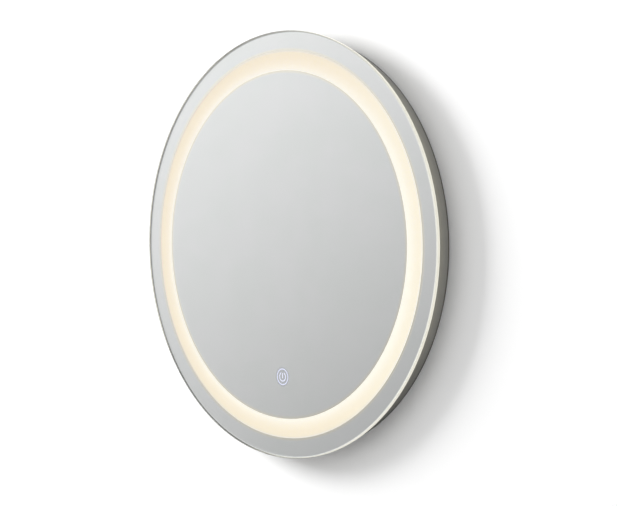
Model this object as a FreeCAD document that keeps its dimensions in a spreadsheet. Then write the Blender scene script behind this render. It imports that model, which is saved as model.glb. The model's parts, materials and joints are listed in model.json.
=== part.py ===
import FreeCAD, Part
import math
import os

import Sketcher

# Lighted round bathroom mirror, in millimetres.
#
# Frame: +X to the right as the user sees the mirror, +Y into the wall, +Z up. The origin is on the
# wall, in the middle of the wall bar's two screw slots. "Depth" is the distance out from the wall,
# so a depth of 30 is at Y = -30. The glass hangs with its centre below the screw line.

SIZES = {
    # glass and silvering
    "glass_dia": 610.0,
    "glass_thick": 5.0,
    "arris_width": 2.0,
    "arris_depth": 1.0,
    "back_arris": 0.6,
    "band_margin": 28.3,
    "band_width": 27.6,
    "coat_gap": 0.05,
    "coat_thick": 0.1,
    "coat_inset": 0.5,
    "tape_thick": 0.85,
    "tape_width": 10.0,
    # touch symbol, cleared in the silvering
    "icon_margin": 60.0,
    "icon_dia": 22.4,
    "icon_inner_dia": 12.4,
    "icon_stroke": 1.3,
    "icon_opening": 5.6,
    "icon_bar_length": 7.4,
    "icon_bar_rise": 1.4,
    # casing
    "rim_overhang": 9.0,
    "frame_depth": 27.0,
    "frame_wall": 1.5,
    "flange_width": 13.0,
    "ledge_play": 0.8,
    "bead_width": 1.5,
    "bead_depth": 2.0,
    "seam_angle": 0.08,
    "wall_gap": 2.0,
    "splice_width": 11.0,
    "splice_thick": 1.5,
    "splice_angle": 12.0,
    "splice_play": 0.1,
    "splice_screw_pitch": 36.0,
    "splice_screw_dia": 4.0,
    "splice_screw_length": 5.0,
    "splice_tip_gap": 0.8,
    # back panel
    "panel_thick": 1.0,
    "panel_play": 0.5,
    "screw_inset": 8.0,
    "panel_screws": 8,
    "vent_count": 5,
    "vent_length": 22.0,
    "vent_width": 3.0,
    "vent_pitch": 9.0,
    "vent_x": 25.0,
    "vent_z": -53.0,
    # screws and rivets
    "screw_dia": 3.8,
    "screw_length": 6.0,
    "driver_screw_length": 4.5,
    "head_dia": 7.4,
    "head_height": 2.2,
    "hole_play": 0.1,
    "rivet_dia": 4.0,
    "rivet_head_dia": 8.0,
    "rivet_head_height": 1.3,
    "rivet_tail": 1.5,
    "rivet_margin": 0.5,
    # hanging bars
    "bar_above_centre": 130.0,
    "wall_bar_length": 300.0,
    "hanger_length": 240.0,
    "bar_thick": 1.5,
    "bar_offset": 5.0,
    "flange_height": 30.0,
    "lip_height": 14.0,
    "hook_play": 0.5,
    "seat_gap": 0.3,
    "slot_pitch": 220.0,
    "slot_length": 14.0,
    "slot_width": 5.5,
    "hanger_rivet_pitch": 70.0,
    # wall bumpers
    "bumper_inset": 26.5,
    "bumper_angle": 30.0,
    "bumper_dia": 16.0,
    "bumper_tip_dia": 11.0,
    "bumper_stem_dia": 5.0,
    "bumper_bulb_dia": 7.0,
    "bumper_bulb_height": 2.5,
    # light ring
    "channel_overlap": 3.0,
    "channel_wall": 1.2,
    "diffuser_thick": 2.0,
    "diffuser_gap": 0.2,
    "channel_rivets": 6,
    "strip_width": 10.0,
    "strip_thick": 0.4,
    "strip_gap_angle": 1.6,
    "chip_count": 72,
    "chip_length": 3.5,
    "chip_width": 2.8,
    "chip_height": 0.8,
    "joiner_width": 6.0,
    "joiner_length": 8.0,
    "joiner_height": 3.2,
    "joiner_overhang": 3.3,
    # driver
    "driver_x": 25.0,
    "driver_z": 50.0,
    "driver_length": 170.0,
    "driver_width": 50.0,
    "base_height": 6.0,
    "cover_height": 10.0,
    "shell_wall": 2.0,
    "ear_length": 12.0,
    "ear_width": 20.0,
    "ear_hole_inset": 6.0,
    "outlet_width": 8.0,
    "outlet_height": 4.0,
    "board_play": 2.0,
    "board_thick": 1.6,
    "post_height": 2.5,
    "post_dia": 5.0,
    "post_inset": 9.0,
    "core_length": 26.0,
    "core_width": 22.0,
    "core_height": 7.0,
    "core_x": -20.0,
    "bobbin_length": 16.0,
    "bobbin_width": 28.0,
    "bobbin_height": 5.0,
    "capacitor_dia": 7.0,
    "capacitor_length": 12.0,
    "capacitor_pitch": 9.0,
    "capacitor_x": 45.0,
    "capacitors": 3,
    # terminal block and cable entry
    "block_x": -120.0,
    "block_z": 50.0,
    "block_length": 20.0,
    "block_height": 14.0,
    "pole_pitch": 8.5,
    "pole_bore_dia": 3.4,
    "pole_bore_rise": 5.0,
    "pole_screw_dia": 3.6,
    "pole_screw_length": 4.5,
    "pole_screw_sink": 0.5,
    "entry_x": -150.0,
    "entry_z": 0.0,
    "grommet_bore_dia": 7.2,
    "grommet_neck_dia": 14.0,
    "grommet_dia": 20.0,
    "grommet_lip": 2.0,
    # earthing stud
    "stud_x": -112.0,
    "stud_z": -20.0,
    "stud_dia": 4.0,
    "stud_length": 12.0,
    "stud_head_dia": 8.0,
    "stud_head_height": 1.5,
    "nut_width": 7.0,
    "nut_height": 3.2,
    "lug_dia": 9.0,
    "lug_thick": 0.8,
    "lug_barrel_dia": 4.0,
    "lug_barrel_length": 9.0,
    # touch switch behind the symbol
    "switch_width": 46.0,
    "switch_height": 36.0,
    "switch_depth": 9.0,
    "switch_wall": 1.5,
    "switch_tape": 0.5,
    "guide_dia": 27.0,
    "guide_thick": 3.0,
    "guide_play": 0.5,
    "guide_gap": 0.1,
    "pad_width": 2.2,
    "pad_thick": 0.3,
    "switch_board_play": 0.6,
    "switch_board_thick": 1.2,
    "switch_post_height": 1.5,
    "switch_post_dia": 3.0,
    "switch_post_inset": 4.0,
    "switch_chip": 5.0,
    "switch_chip_height": 1.2,
    "switch_outlet_dia": 4.6,
    "switch_outlet_rise": 3.5,
    # leads
    "core_lead_dia": 2.6,
    "twin_lead_dia": 3.4,
    "lead_turn": 0.45,
    "lead_reach": 10.0,
    "clip_length": 10.0,
    "clip_width": 11.0,
    "clip_height": 6.0,
    "clip_play": 0.6,
}

doc = FreeCAD.newDocument("lighted_mirror")
sheet = doc.addObject("Spreadsheet::Sheet", "sizes")
for row, (name, number) in enumerate(SIZES.items(), start=1):
    sheet.set(f"A{row}", name)
    sheet.set(f"B{row}", str(number))
    sheet.setAlias(f"B{row}", name)
doc.recompute()


# ---------------------------------------------------------------- sizes that carry their formula


class Size:
    """A number together with the sheet formula that gives it."""

    def __init__(self, value, text):
        self.value = value
        self.text = text

    def __add__(self, other):
        other = as_size(other)
        return Size(self.value + other.value, f"({self.text} + {other.text})")

    def __sub__(self, other):
        other = as_size(other)
        return Size(self.value - other.value, f"({self.text} - {other.text})")

    def __mul__(self, factor):
        return Size(self.value * factor, f"({self.text} * ({factor:.9f}))")

    def __truediv__(self, divisor):
        return Size(self.value / divisor, f"({self.text} / {divisor})")

    def __neg__(self):
        return Size(-self.value, f"(0 - {self.text})")

    def is_origin(self):
        """Whether this is a plain nought that no size of the sheet moves."""
        return self.value == 0 and "sizes." not in self.text


def as_size(value):
    """Give a plain number the form of a Size."""
    if isinstance(value, Size):
        return value
    return Size(float(value), str(float(value)))


class Sheet:
    """Every size of the sheet by its alias, such as S.glass_dia."""

    def __getattr__(self, alias):
        return Size(float(sheet.get(alias)), f"sizes.{alias}")


S = Sheet()

# ---------------------------------------------------------------- depths out from the wall, and radii

frame_back = S.wall_gap
frame_front = frame_back + S.frame_depth
coat_back = frame_front + S.tape_thick
coat_front = coat_back + S.coat_thick
glass_back = coat_front + S.coat_gap
glass_front = glass_back + S.glass_thick
panel_back = S.bar_offset + S.bar_offset - S.hook_play
panel_front = panel_back + S.panel_thick
ledge_front = panel_front + S.frame_wall
flange_back = frame_front - S.frame_wall
diffuser_front = coat_back - S.diffuser_gap
channel_front = diffuser_front - S.diffuser_thick
strip_back = panel_front + S.channel_wall
strip_front = strip_back + S.strip_thick
strip_lead_depth = strip_front + S.twin_lead_dia / 2 + S.clip_play
switch_front = coat_back - S.switch_tape
switch_back = switch_front - S.switch_depth

glass_radius = S.glass_dia / 2
band_outer = glass_radius - S.band_margin
band_inner = band_outer - S.band_width
frame_radius = glass_radius - S.rim_overhang
frame_inside = frame_radius - S.frame_wall
bead_inside = frame_inside - S.bead_width
screw_circle = frame_radius - S.screw_inset
panel_radius = bead_inside - S.panel_play
channel_outer = band_outer + S.channel_overlap
channel_inner = band_inner - S.channel_overlap
channel_middle = (channel_outer + channel_inner) / 2
ledge_inside = channel_outer + S.ledge_play
bumper_circle = channel_inner - S.bumper_inset
bumper_turn = math.radians(S.bumper_angle.value)
bumper_x = bumper_circle * math.sin(bumper_turn)
bumper_drop = bumper_circle * math.cos(bumper_turn)
icon_drop = band_inner - S.icon_margin
rivet_circle = channel_inner + S.channel_wall + S.rivet_head_dia / 2 + S.rivet_margin
glass_z = -S.bar_above_centre
icon_z = glass_z - icon_drop
hanger_z = S.flange_height + S.lip_height + S.seat_gap

lug_barrel_rise = S.lug_barrel_dia / 2 + S.lug_thick / 4
screw_radius = S.screw_dia / 2
screw_hole = screw_radius + S.hole_play
rivet_hole = S.rivet_dia / 2 + S.hole_play

# ---------------------------------------------------------------- bodies, sketches and features

HEAD_SIDES = 12
HOLE_SIDES = 8
LEAD_SIDES = 6

pieces = []


def new_body(label, x=0, depth=0, z=0):
    """A body for one piece, with its origin at x, at a depth out from the wall, and at height z.

    Several separate solids may share a body.
    """
    body = doc.addObject("PartDesign::Body", label)
    body.AllowCompound = True
    for axis, size in (("x", as_size(x)), ("y", -as_size(depth)), ("z", as_size(z))):
        body.setExpression(f"Placement.Base.{axis}", size.text)
    pieces.append(body)
    return body


def origin_part(body, role):
    """One of the body's own origin planes or axes, found by its role."""
    return next(part for part in body.Origin.OriginFeatures if part.Role == role)


def new_sketch(body, role, rise=0, up=0):
    """An empty sketch on one of the body's own origin planes.

    XZ_Plane faces out from the wall, XY_Plane faces up and YZ_Plane faces right. rise lifts the
    sketch off the plane the way it faces, and up slides it along its own vertical.
    """
    sketch = body.newObject("Sketcher::SketchObject", f"{body.Label}_sketch")
    sketch.AttachmentSupport = [(origin_part(body, role), "")]
    sketch.MapMode = "FlatFace"
    sketch.setExpression("AttachmentOffset.Base.z", as_size(rise).text)
    sketch.setExpression("AttachmentOffset.Base.y", as_size(up).text)
    return sketch


def bind_last(sketch, size):
    """Tie the sketch's newest constraint to the sheet."""
    sketch.setExpression(f"Constraints[{sketch.ConstraintCount - 1}]", size.text)


def pin_point(sketch, geometry, point, x, y):
    """Hold a point of the sketch at x, y from the sketch's origin."""
    for kind, axis, size in (("DistanceX", -2, as_size(x)), ("DistanceY", -1, as_size(y))):
        if size.is_origin():
            sketch.addConstraint(Sketcher.Constraint("PointOnObject", geometry, point, axis))
        else:
            sketch.addConstraint(Sketcher.Constraint(kind, -1, 1, geometry, point, size.value))
            bind_last(sketch, size)


def hold_radius(sketch, arc, radius):
    """Give an arc or circle its radius."""
    sketch.addConstraint(Sketcher.Constraint("Radius", arc, radius.value))
    bind_last(sketch, radius)


def round_edge(x, y, radius):
    """A full circle about x, y in a sketch's own plane."""
    centre = FreeCAD.Vector(as_size(x).value, as_size(y).value, 0)
    return Part.Circle(centre, FreeCAD.Vector(0, 0, 1), radius.value)


def draw_polygon(sketch, corners):
    """A closed outline of straight edges through the corners."""
    points = [FreeCAD.Vector(as_size(x).value, as_size(y).value, 0) for x, y in corners]
    first = sketch.GeometryCount
    count = len(corners)
    for index, point in enumerate(points):
        sketch.addGeometry(Part.LineSegment(point, points[(index + 1) % count]), False)
    for index in range(count):
        after = first + (index + 1) % count
        sketch.addConstraint(Sketcher.Constraint("Coincident", first + index, 2, after, 1))
    for index, (x, y) in enumerate(corners):
        pin_point(sketch, first + index, 1, x, y)


def draw_rectangle(sketch, x, y, width, height):
    """A rectangle about the centre x, y."""
    left, right = as_size(x) - width / 2, as_size(x) + width / 2
    low, high = as_size(y) - height / 2, as_size(y) + height / 2
    draw_polygon(sketch, [(left, low), (right, low), (right, high), (left, high)])


def draw_circle(sketch, x, y, radius):
    """A circle about x, y."""
    circle = sketch.addGeometry(round_edge(x, y, radius), False)
    pin_point(sketch, circle, 3, x, y)
    hold_radius(sketch, circle, radius)


def draw_facets(sketch, x, y, radius, sides, round_hole=False):
    """A many-sided stand-in for a small circle: inside the circle, or outside it for a hole."""
    step = math.pi / sides
    corner = radius / math.cos(step) if round_hole else radius
    turns = [step * (2 * index + 1) for index in range(sides)]
    draw_polygon(sketch, [(as_size(x) + corner * math.cos(angle), as_size(y) + corner * math.sin(angle))
                          for angle in turns])


def draw_slot(sketch, x, y, length, width):
    """A level slot with round ends about the centre x, y."""
    reach = (length - width) / 2
    radius = width / 2
    ends = []
    for side in (-1, 1):
        middle = as_size(x) + reach * side
        start = -side * math.pi / 2
        arc = Part.ArcOfCircle(round_edge(middle, y, radius), start, start + math.pi)
        ends.append(sketch.addGeometry(arc, False))
        pin_point(sketch, ends[-1], 3, middle, y)
    left, right = ends
    edges = [sketch.Geometry[end] for end in ends]
    low = sketch.addGeometry(Part.LineSegment(edges[0].EndPoint, edges[1].StartPoint), False)
    high = sketch.addGeometry(Part.LineSegment(edges[1].EndPoint, edges[0].StartPoint), False)
    for corner in ((left, 2, low, 1), (low, 2, right, 1), (right, 2, high, 1), (high, 2, left, 1)):
        sketch.addConstraint(Sketcher.Constraint("Tangent", *corner))
    sketch.addConstraint(Sketcher.Constraint("Equal", left, right))
    hold_radius(sketch, left, radius)


def draw_open_ring(sketch, radius, stroke, opening):
    """A ring stroke about the sketch's origin, open at the top between two upright ends."""
    reach = opening / 2
    arcs = []
    for edge in (radius + stroke / 2, radius - stroke / 2):
        half_turn = math.asin(reach.value / edge.value)
        start = math.pi / 2 + half_turn
        arc = Part.ArcOfCircle(round_edge(0, 0, edge), start, start + 2 * (math.pi - half_turn))
        arcs.append(sketch.addGeometry(arc, False))
        sketch.addConstraint(Sketcher.Constraint("Coincident", arcs[-1], 3, -1, 1))
        hold_radius(sketch, arcs[-1], edge)
        for point, side in ((1, -1), (2, 1)):
            across = reach * side
            sketch.addConstraint(
                Sketcher.Constraint("DistanceX", -1, 1, arcs[-1], point, across.value))
            bind_last(sketch, across)
    outer, inner = (sketch.Geometry[arc] for arc in arcs)
    ends = ((1, outer.StartPoint, inner.StartPoint), (2, outer.EndPoint, inner.EndPoint))
    for point, start, end in ends:
        line = sketch.addGeometry(Part.LineSegment(start, end), False)
        for arc, line_end in zip(arcs, (1, 2)):
            sketch.addConstraint(Sketcher.Constraint("Coincident", line, line_end, arc, point))


def bind(feature, name, size):
    """Set a property of the feature and tie it to the sheet."""
    setattr(feature, name, size.value)
    feature.setExpression(name, size.text)


def pad(body, sketch, length, reverse=False, both_ways=False):
    """Raise the sketch by a length the way it faces, the other way, or half each way."""
    feature = body.newObject("PartDesign::Pad", f"{body.Label}_pad")
    feature.Profile = sketch
    bind(feature, "Length", length)
    feature.Reversed = reverse
    if both_ways:
        feature.SideType = "Symmetric"
    body.Tip = feature
    return feature


def pocket(body, sketch, length, reverse=False, both_ways=False):
    """Cut the sketch away against the way it faces, along it (reverse), or half each way."""
    doc.recompute()
    before = body.Shape.Volume
    feature = body.newObject("PartDesign::Pocket", f"{body.Label}_pocket")
    feature.Profile = sketch
    bind(feature, "Length", length)
    feature.Reversed = reverse
    if both_ways:
        feature.SideType = "Symmetric"
    body.Tip = feature
    doc.recompute()
    if not body.Shape.Volume < before:
        raise RuntimeError(f"{feature.Label} removes nothing")
    return feature


def turn(body, corners, angle=None, side=1):
    """Turn an outline of (radius, depth) corners about the body's axis square to the wall.

    A part turn is centred on the top, or on the bottom where side is -1.
    """
    sketch = new_sketch(body, "YZ_Plane")
    draw_polygon(sketch, [(-as_size(depth), as_size(radius) * side) for radius, depth in corners])
    feature = body.newObject("PartDesign::Revolution", f"{body.Label}_turn")
    feature.Profile = sketch
    feature.ReferenceAxis = (sketch, ["H_Axis"])
    feature.Angle = 360
    if angle is not None:
        bind(feature, "Angle", angle)
        feature.Midplane = True
    body.Tip = feature
    return feature


def repeat_round(body, features, count):
    """Repeat features evenly round the body's axis square to the wall."""
    pattern = body.newObject("PartDesign::PolarPattern", f"{body.Label}_round")
    pattern.Originals = features
    pattern.Axis = (origin_part(body, "Y_Axis"), [""])
    pattern.Angle = 360
    pattern.Occurrences = int(count.value)
    pattern.setExpression("Occurrences", count.text)
    body.Tip = pattern


def repeat_along(body, features, role, count, pitch):
    """Repeat features along one of the body's axes at a pitch."""
    pattern = body.newObject("PartDesign::LinearPattern", f"{body.Label}_row")
    pattern.Originals = features
    pattern.Direction = (origin_part(body, role), [""])
    pattern.Occurrences = int(count.value)
    pattern.setExpression("Occurrences", count.text)
    reach = Size(pitch.value * (count.value - 1), f"{pitch.text} * ({count.text} - 1)")
    bind(pattern, "Length", reach)
    body.Tip = pattern


def ring(label, corners, angle=None, side=1):
    """A ring about the glass axis from an outline of (radius, depth) corners."""
    body = new_body(label, 0, 0, glass_z)
    turn(body, corners, angle, side)
    return body


def disc(label, x, depth, z, radius, thick):
    """A disc that faces out from the wall."""
    body = new_body(label, x, depth, z)
    sketch = new_sketch(body, "XZ_Plane")
    draw_circle(sketch, 0, 0, radius)
    pad(body, sketch, thick)
    return body


def slab(label, x, depth, z, width, height, thick):
    """A rectangular block that faces out from the wall."""
    body = new_body(label, x, depth, z)
    sketch = new_sketch(body, "XZ_Plane")
    draw_rectangle(sketch, 0, 0, width, height)
    pad(body, sketch, thick)
    return body


def add_slab(body, rise, x, z, width, height, thick):
    """Raise another block on the body, from a rise above its back."""
    sketch = new_sketch(body, "XZ_Plane", rise)
    draw_rectangle(sketch, x, z, width, height)
    pad(body, sketch, thick)


def add_posts(body, rise, spots, radius, height):
    """Raise posts on the body, from a rise above its back."""
    sketch = new_sketch(body, "XZ_Plane", rise)
    for x, z in spots:
        draw_facets(sketch, x, z, radius, HOLE_SIDES)
    pad(body, sketch, height)


def hollow(body, rise, width, height, depth):
    """Sink a rectangular hollow into the body, from a rise above its back outward."""
    sketch = new_sketch(body, "XZ_Plane", rise)
    draw_rectangle(sketch, 0, 0, width, height)
    pocket(body, sketch, depth, reverse=True)


def bore_middle(body, radius, depth):
    """Bore a round hole through the middle of the body."""
    sketch = new_sketch(body, "XZ_Plane")
    draw_circle(sketch, 0, 0, radius)
    pocket(body, sketch, depth, reverse=True)


def drill(body, spots, radius, depth, rise=0):
    """Make the small holes that a fastener fills at (x, z) spots, from a rise above the back."""
    sketch = new_sketch(body, "XZ_Plane", rise)
    for x, z in spots:
        draw_facets(sketch, x, z, radius, HOLE_SIDES, round_hole=True)
    return pocket(body, sketch, depth, reverse=True)


def corners_of(width, height):
    """The four corner spots of a rectangle about 0, 0."""
    return [(width * side / 2, height * end / 2) for side in (-1, 1) for end in (-1, 1)]


def half_step_spot(radius, count):
    """The (x, z) spot on a circle, half a step of the pattern away from the bottom."""
    half_step = math.pi / count.value
    return radius * math.sin(half_step), radius * -math.cos(half_step)


def fastener(body, spots, head_radius, head_height, shank_radius, shank_length, heads_out=True):
    """Round-headed fasteners at (x, z) spots, their heads seated on the body's XZ plane.

    The heads stand out towards the user, or towards the wall, and the shanks go the other way.
    """
    features = []
    for radius, length, sides, reverse in ((head_radius, head_height, HEAD_SIDES, not heads_out),
                                           (shank_radius, shank_length, HOLE_SIDES, heads_out)):
        sketch = new_sketch(body, "XZ_Plane")
        for x, z in spots:
            draw_facets(sketch, x, z, radius, sides)
        features.append(pad(body, sketch, length, reverse))
    return features


def code_piece(label, shape):
    """A piece whose shape is made directly from the sizes."""
    piece = doc.addObject("Part::Feature", label)
    piece.Shape = shape
    piece.Placement = FreeCAD.Placement()
    pieces.append(piece)


# ---------------------------------------------------------------- glass, silvering and light ring


def make_glass():
    """Float glass disc with a wide arris at the front and a fine one at the back."""
    ring("mirror_glass", [
        (0, glass_back),
        (glass_radius - S.back_arris, glass_back),
        (glass_radius, glass_back + S.back_arris),
        (glass_radius, glass_front - S.arris_depth),
        (glass_radius - S.arris_width, glass_front),
        (0, glass_front)])


def make_silver_coat():
    """Silvering with the light band and the touch symbol cleared away.

    The circles lie inside each other: the cleared band parts the rim from the middle, and the
    symbol's outer ring leaves an island that carries the inner ring and the bar.
    """
    body = new_body("silver_coat", 0, coat_back, glass_z)
    sketch = new_sketch(body, "XZ_Plane")
    for radius in (glass_radius - S.coat_inset, band_outer, band_inner):
        draw_circle(sketch, 0, 0, radius)
    pad(body, sketch, S.coat_thick)
    outer_ring = new_sketch(body, "XZ_Plane", up=-icon_drop)
    for stroke_edge in (S.icon_dia + S.icon_stroke, S.icon_dia - S.icon_stroke):
        draw_circle(outer_ring, 0, 0, stroke_edge / 2)
    pocket(body, outer_ring, S.coat_thick, reverse=True)
    inner_ring = new_sketch(body, "XZ_Plane", up=-icon_drop)
    draw_open_ring(inner_ring, S.icon_inner_dia / 2, S.icon_stroke, S.icon_opening)
    pocket(body, inner_ring, S.coat_thick, reverse=True)
    bar = new_sketch(body, "XZ_Plane", up=-icon_drop)
    draw_rectangle(bar, 0, S.icon_bar_rise, S.icon_stroke, S.icon_bar_length)
    pocket(body, bar, S.coat_thick, reverse=True)


def make_bonding_tape():
    """Foam tape between the silvered glass and the casing's front flange."""
    ring("bonding_tape", [
        (frame_inside - S.tape_width, frame_front),
        (frame_inside, frame_front),
        (frame_inside, coat_back),
        (frame_inside - S.tape_width, coat_back)])


def make_light_channel():
    """White U-section ring behind the band, riveted to the panel.

    A hole in its inner wall, at the bottom, lets the strip's lead in.
    """
    body = ring("light_channel", [
        (channel_inner, panel_front),
        (channel_outer, panel_front),
        (channel_outer, channel_front),
        (channel_outer - S.channel_wall, channel_front),
        (channel_outer - S.channel_wall, strip_back),
        (channel_inner + S.channel_wall, strip_back),
        (channel_inner + S.channel_wall, channel_front),
        (channel_inner, channel_front)])
    hole = drill(body, [half_step_spot(rivet_circle, S.channel_rivets)], rivet_hole, channel_front)
    repeat_round(body, [hole], S.channel_rivets)
    passage = new_sketch(body, "XY_Plane")
    draw_facets(passage, 0, -strip_lead_depth, S.twin_lead_dia / 2 + S.clip_play, HOLE_SIDES, True)
    pocket(body, passage, channel_inner + S.channel_wall * 2)
    rivets = new_body("channel_rivets", 0, panel_back, glass_z)
    features = fastener(rivets, [half_step_spot(rivet_circle, S.channel_rivets)],
                        S.rivet_head_dia / 2, S.rivet_head_height, S.rivet_dia / 2,
                        S.panel_thick + S.channel_wall + S.rivet_tail, heads_out=False)
    repeat_round(rivets, features, S.channel_rivets)


def make_diffuser():
    """Opal ring that lies on the channel's walls, close behind the silvering."""
    ring("diffuser_ring", [
        (channel_inner, channel_front),
        (channel_outer, channel_front),
        (channel_outer, diffuser_front),
        (channel_inner, diffuser_front)])


def make_led_strip():
    """Flexible circuit on the channel's base, open at the bottom, with a ring of chips."""
    half = S.strip_width / 2
    gap = S.strip_gap_angle
    ring("led_strip", [
        (channel_middle - half, strip_back),
        (channel_middle + half, strip_back),
        (channel_middle + half, strip_front),
        (channel_middle - half, strip_front)], Size(360 - gap.value, f"(360 - {gap.text})"))

    chips = new_body("led_chips", 0, strip_front, glass_z)
    sketch = new_sketch(chips, "XZ_Plane")
    x, z = half_step_spot(channel_middle, S.chip_count)
    draw_rectangle(sketch, x, z, S.chip_length, S.chip_width)
    repeat_round(chips, [pad(chips, sketch, S.chip_height)], S.chip_count)

    joiner_z = glass_z - channel_middle + S.strip_width / 2 + S.joiner_overhang
    slab("strip_joiner", 0, strip_front, joiner_z - S.joiner_length / 2,
         S.joiner_width, S.joiner_length, S.joiner_height)


# ---------------------------------------------------------------- casing and back panel


def make_frame():
    """Rolled casing: outer wall, front flange, ledge for the panel and a thickened rear edge.

    The ring's ends butt together at the bottom, with a fine seam.
    """
    flange_inside = frame_radius - S.flange_width
    seam = S.seam_angle
    body = ring("frame_ring", [
        (frame_radius, frame_back),
        (frame_radius, frame_front),
        (flange_inside, frame_front),
        (flange_inside, flange_back),
        (frame_inside, flange_back),
        (frame_inside, ledge_front),
        (ledge_inside, ledge_front),
        (ledge_inside, panel_front),
        (frame_inside, panel_front),
        (frame_inside, frame_back + S.bead_depth),
        (bead_inside, frame_back + S.bead_depth),
        (bead_inside, frame_back)], Size(360 - seam.value, f"(360 - {seam.text})"))
    spot = half_step_spot(screw_circle, S.panel_screws)
    hole = drill(body, [spot], screw_hole, ledge_front + S.frame_wall)
    repeat_round(body, [hole], S.panel_screws)


def make_splice():
    """Curved plate behind the seam, and the grub screws that press it to the wall."""
    outer = frame_inside - S.splice_play
    inner = outer - S.splice_thick
    middle = (ledge_front + flange_back) / 2
    low = middle - S.splice_width / 2
    high = middle + S.splice_width / 2
    plate = ring("splice_plate", [(inner, low), (outer, low), (outer, high), (inner, high)],
                 S.splice_angle, side=-1)
    spots = [S.splice_screw_pitch * side / 2 for side in (-1, 1)]
    holes = new_sketch(plate, "XY_Plane")
    for x in spots:
        draw_facets(holes, x, -middle, S.splice_screw_dia / 2 + S.hole_play, HOLE_SIDES, True)
    pocket(plate, holes, frame_radius)
    screws = new_body("splice_screws", 0, middle, glass_z - frame_inside + S.splice_tip_gap)
    ends = new_sketch(screws, "XY_Plane")
    for x in spots:
        draw_facets(ends, x, 0, S.splice_screw_dia / 2, HOLE_SIDES)
    pad(screws, ends, S.splice_screw_length)


def hanger_spots():
    """The (x, z) rivet spots of the hanger bar, from the origin."""
    return [(S.hanger_rivet_pitch * step, hanger_z) for step in (-1.5, -0.5, 0.5, 1.5)]


def driver_spots():
    """The (x, z) screw spots of the driver's ears, from the glass centre."""
    reach = S.driver_length / 2 + S.ear_hole_inset
    return [(S.driver_x + reach * side, S.driver_z) for side in (-1, 1)]


def make_back_panel():
    """Round sheet that closes the casing, with all its holes and a column of air slots."""
    body = disc("back_panel", 0, panel_back, glass_z, panel_radius, S.panel_thick)
    for radius, size, count in ((screw_circle, screw_hole, S.panel_screws),
                                (rivet_circle, rivet_hole, S.channel_rivets)):
        repeat_round(body, [drill(body, [half_step_spot(radius, count)], size, S.panel_thick)], count)
    vent = new_sketch(body, "XZ_Plane")
    draw_slot(vent, S.vent_x, S.vent_z, S.vent_length, S.vent_width)
    first = pocket(body, vent, S.panel_thick, reverse=True)
    repeat_along(body, [first], "Z_Axis", S.vent_count, S.vent_pitch)
    entry = new_sketch(body, "XZ_Plane")
    draw_circle(entry, S.entry_x, S.entry_z, S.grommet_neck_dia / 2)
    pocket(body, entry, S.panel_thick, reverse=True)
    drill(body, [(S.stud_x, S.stud_z)], S.stud_dia / 2 + S.hole_play, S.panel_thick)
    drill(body, driver_spots(), screw_hole, S.panel_thick)
    drill(body, [(x, z - glass_z) for x, z in hanger_spots()], rivet_hole, S.panel_thick)
    drill(body, [(bumper_x * side, -bumper_drop) for side in (-1, 1)],
          S.bumper_stem_dia / 2 + S.hole_play, S.panel_thick)
    screws = new_body("panel_screws", 0, panel_back, glass_z)
    features = fastener(screws, [half_step_spot(screw_circle, S.panel_screws)],
                        S.head_dia / 2, S.head_height, screw_radius, S.screw_length,
                        heads_out=False)
    repeat_round(screws, features, S.panel_screws)


def z_section():
    """The (depth, z) outline of a hanging bar: flange, web and an upstanding lip."""
    top = S.flange_height / 2
    lip_top = top + S.lip_height
    lip_face = S.bar_offset + S.bar_thick
    return [(as_size(0), -top), (S.bar_thick, -top), (S.bar_thick, top - S.bar_thick),
            (lip_face, top - S.bar_thick), (lip_face, lip_top), (S.bar_offset, lip_top),
            (S.bar_offset, top), (as_size(0), top)]


def make_hanging_bars():
    """The wall bar, and the same section turned over on the back of the panel."""
    wall_bar = new_body("wall_bar")
    section = new_sketch(wall_bar, "YZ_Plane")
    draw_polygon(section, [(-depth, z) for depth, z in z_section()])
    pad(wall_bar, section, S.wall_bar_length, both_ways=True)
    slots = new_sketch(wall_bar, "XZ_Plane")
    for side in (-1, 1):
        draw_slot(slots, S.slot_pitch * side / 2, 0, S.slot_length, S.slot_width)
    pocket(wall_bar, slots, S.bar_thick, reverse=True)

    hanger = new_body("hanger_bar", 0, panel_back, hanger_z)
    section = new_sketch(hanger, "YZ_Plane")
    draw_polygon(section, [(depth, -z) for depth, z in z_section()])
    pad(hanger, section, S.hanger_length, both_ways=True)
    holes = new_sketch(hanger, "XZ_Plane")
    for x, z in hanger_spots():
        draw_facets(holes, x, 0, rivet_hole, HOLE_SIDES, True)
    pocket(hanger, holes, S.bar_thick)

    rivets = new_body("hanger_rivets", 0, panel_back - S.bar_thick, hanger_z)
    fastener(rivets, [(x, 0) for x, z in hanger_spots()], S.rivet_head_dia / 2,
             S.rivet_head_height, S.rivet_dia / 2, S.bar_thick + S.panel_thick + S.rivet_tail,
             heads_out=False)


def make_bumpers():
    """Push-in rubber bumpers that hold the lower edge off the wall."""
    body = new_body("wall_bumpers", -bumper_x, 0, glass_z - bumper_drop)
    stem = S.bumper_stem_dia / 2
    bulb = S.bumper_bulb_dia / 2
    first = turn(body, [
        (0, 0),
        (S.bumper_tip_dia / 2, 0),
        (S.bumper_dia / 2, panel_back),
        (stem, panel_back),
        (stem, panel_front),
        (bulb, panel_front),
        (stem, panel_front + S.bumper_bulb_height),
        (0, panel_front + S.bumper_bulb_height)])
    repeat_along(body, [first], "X_Axis", as_size(2), bumper_x * 2)


# ---------------------------------------------------------------- driver


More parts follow.
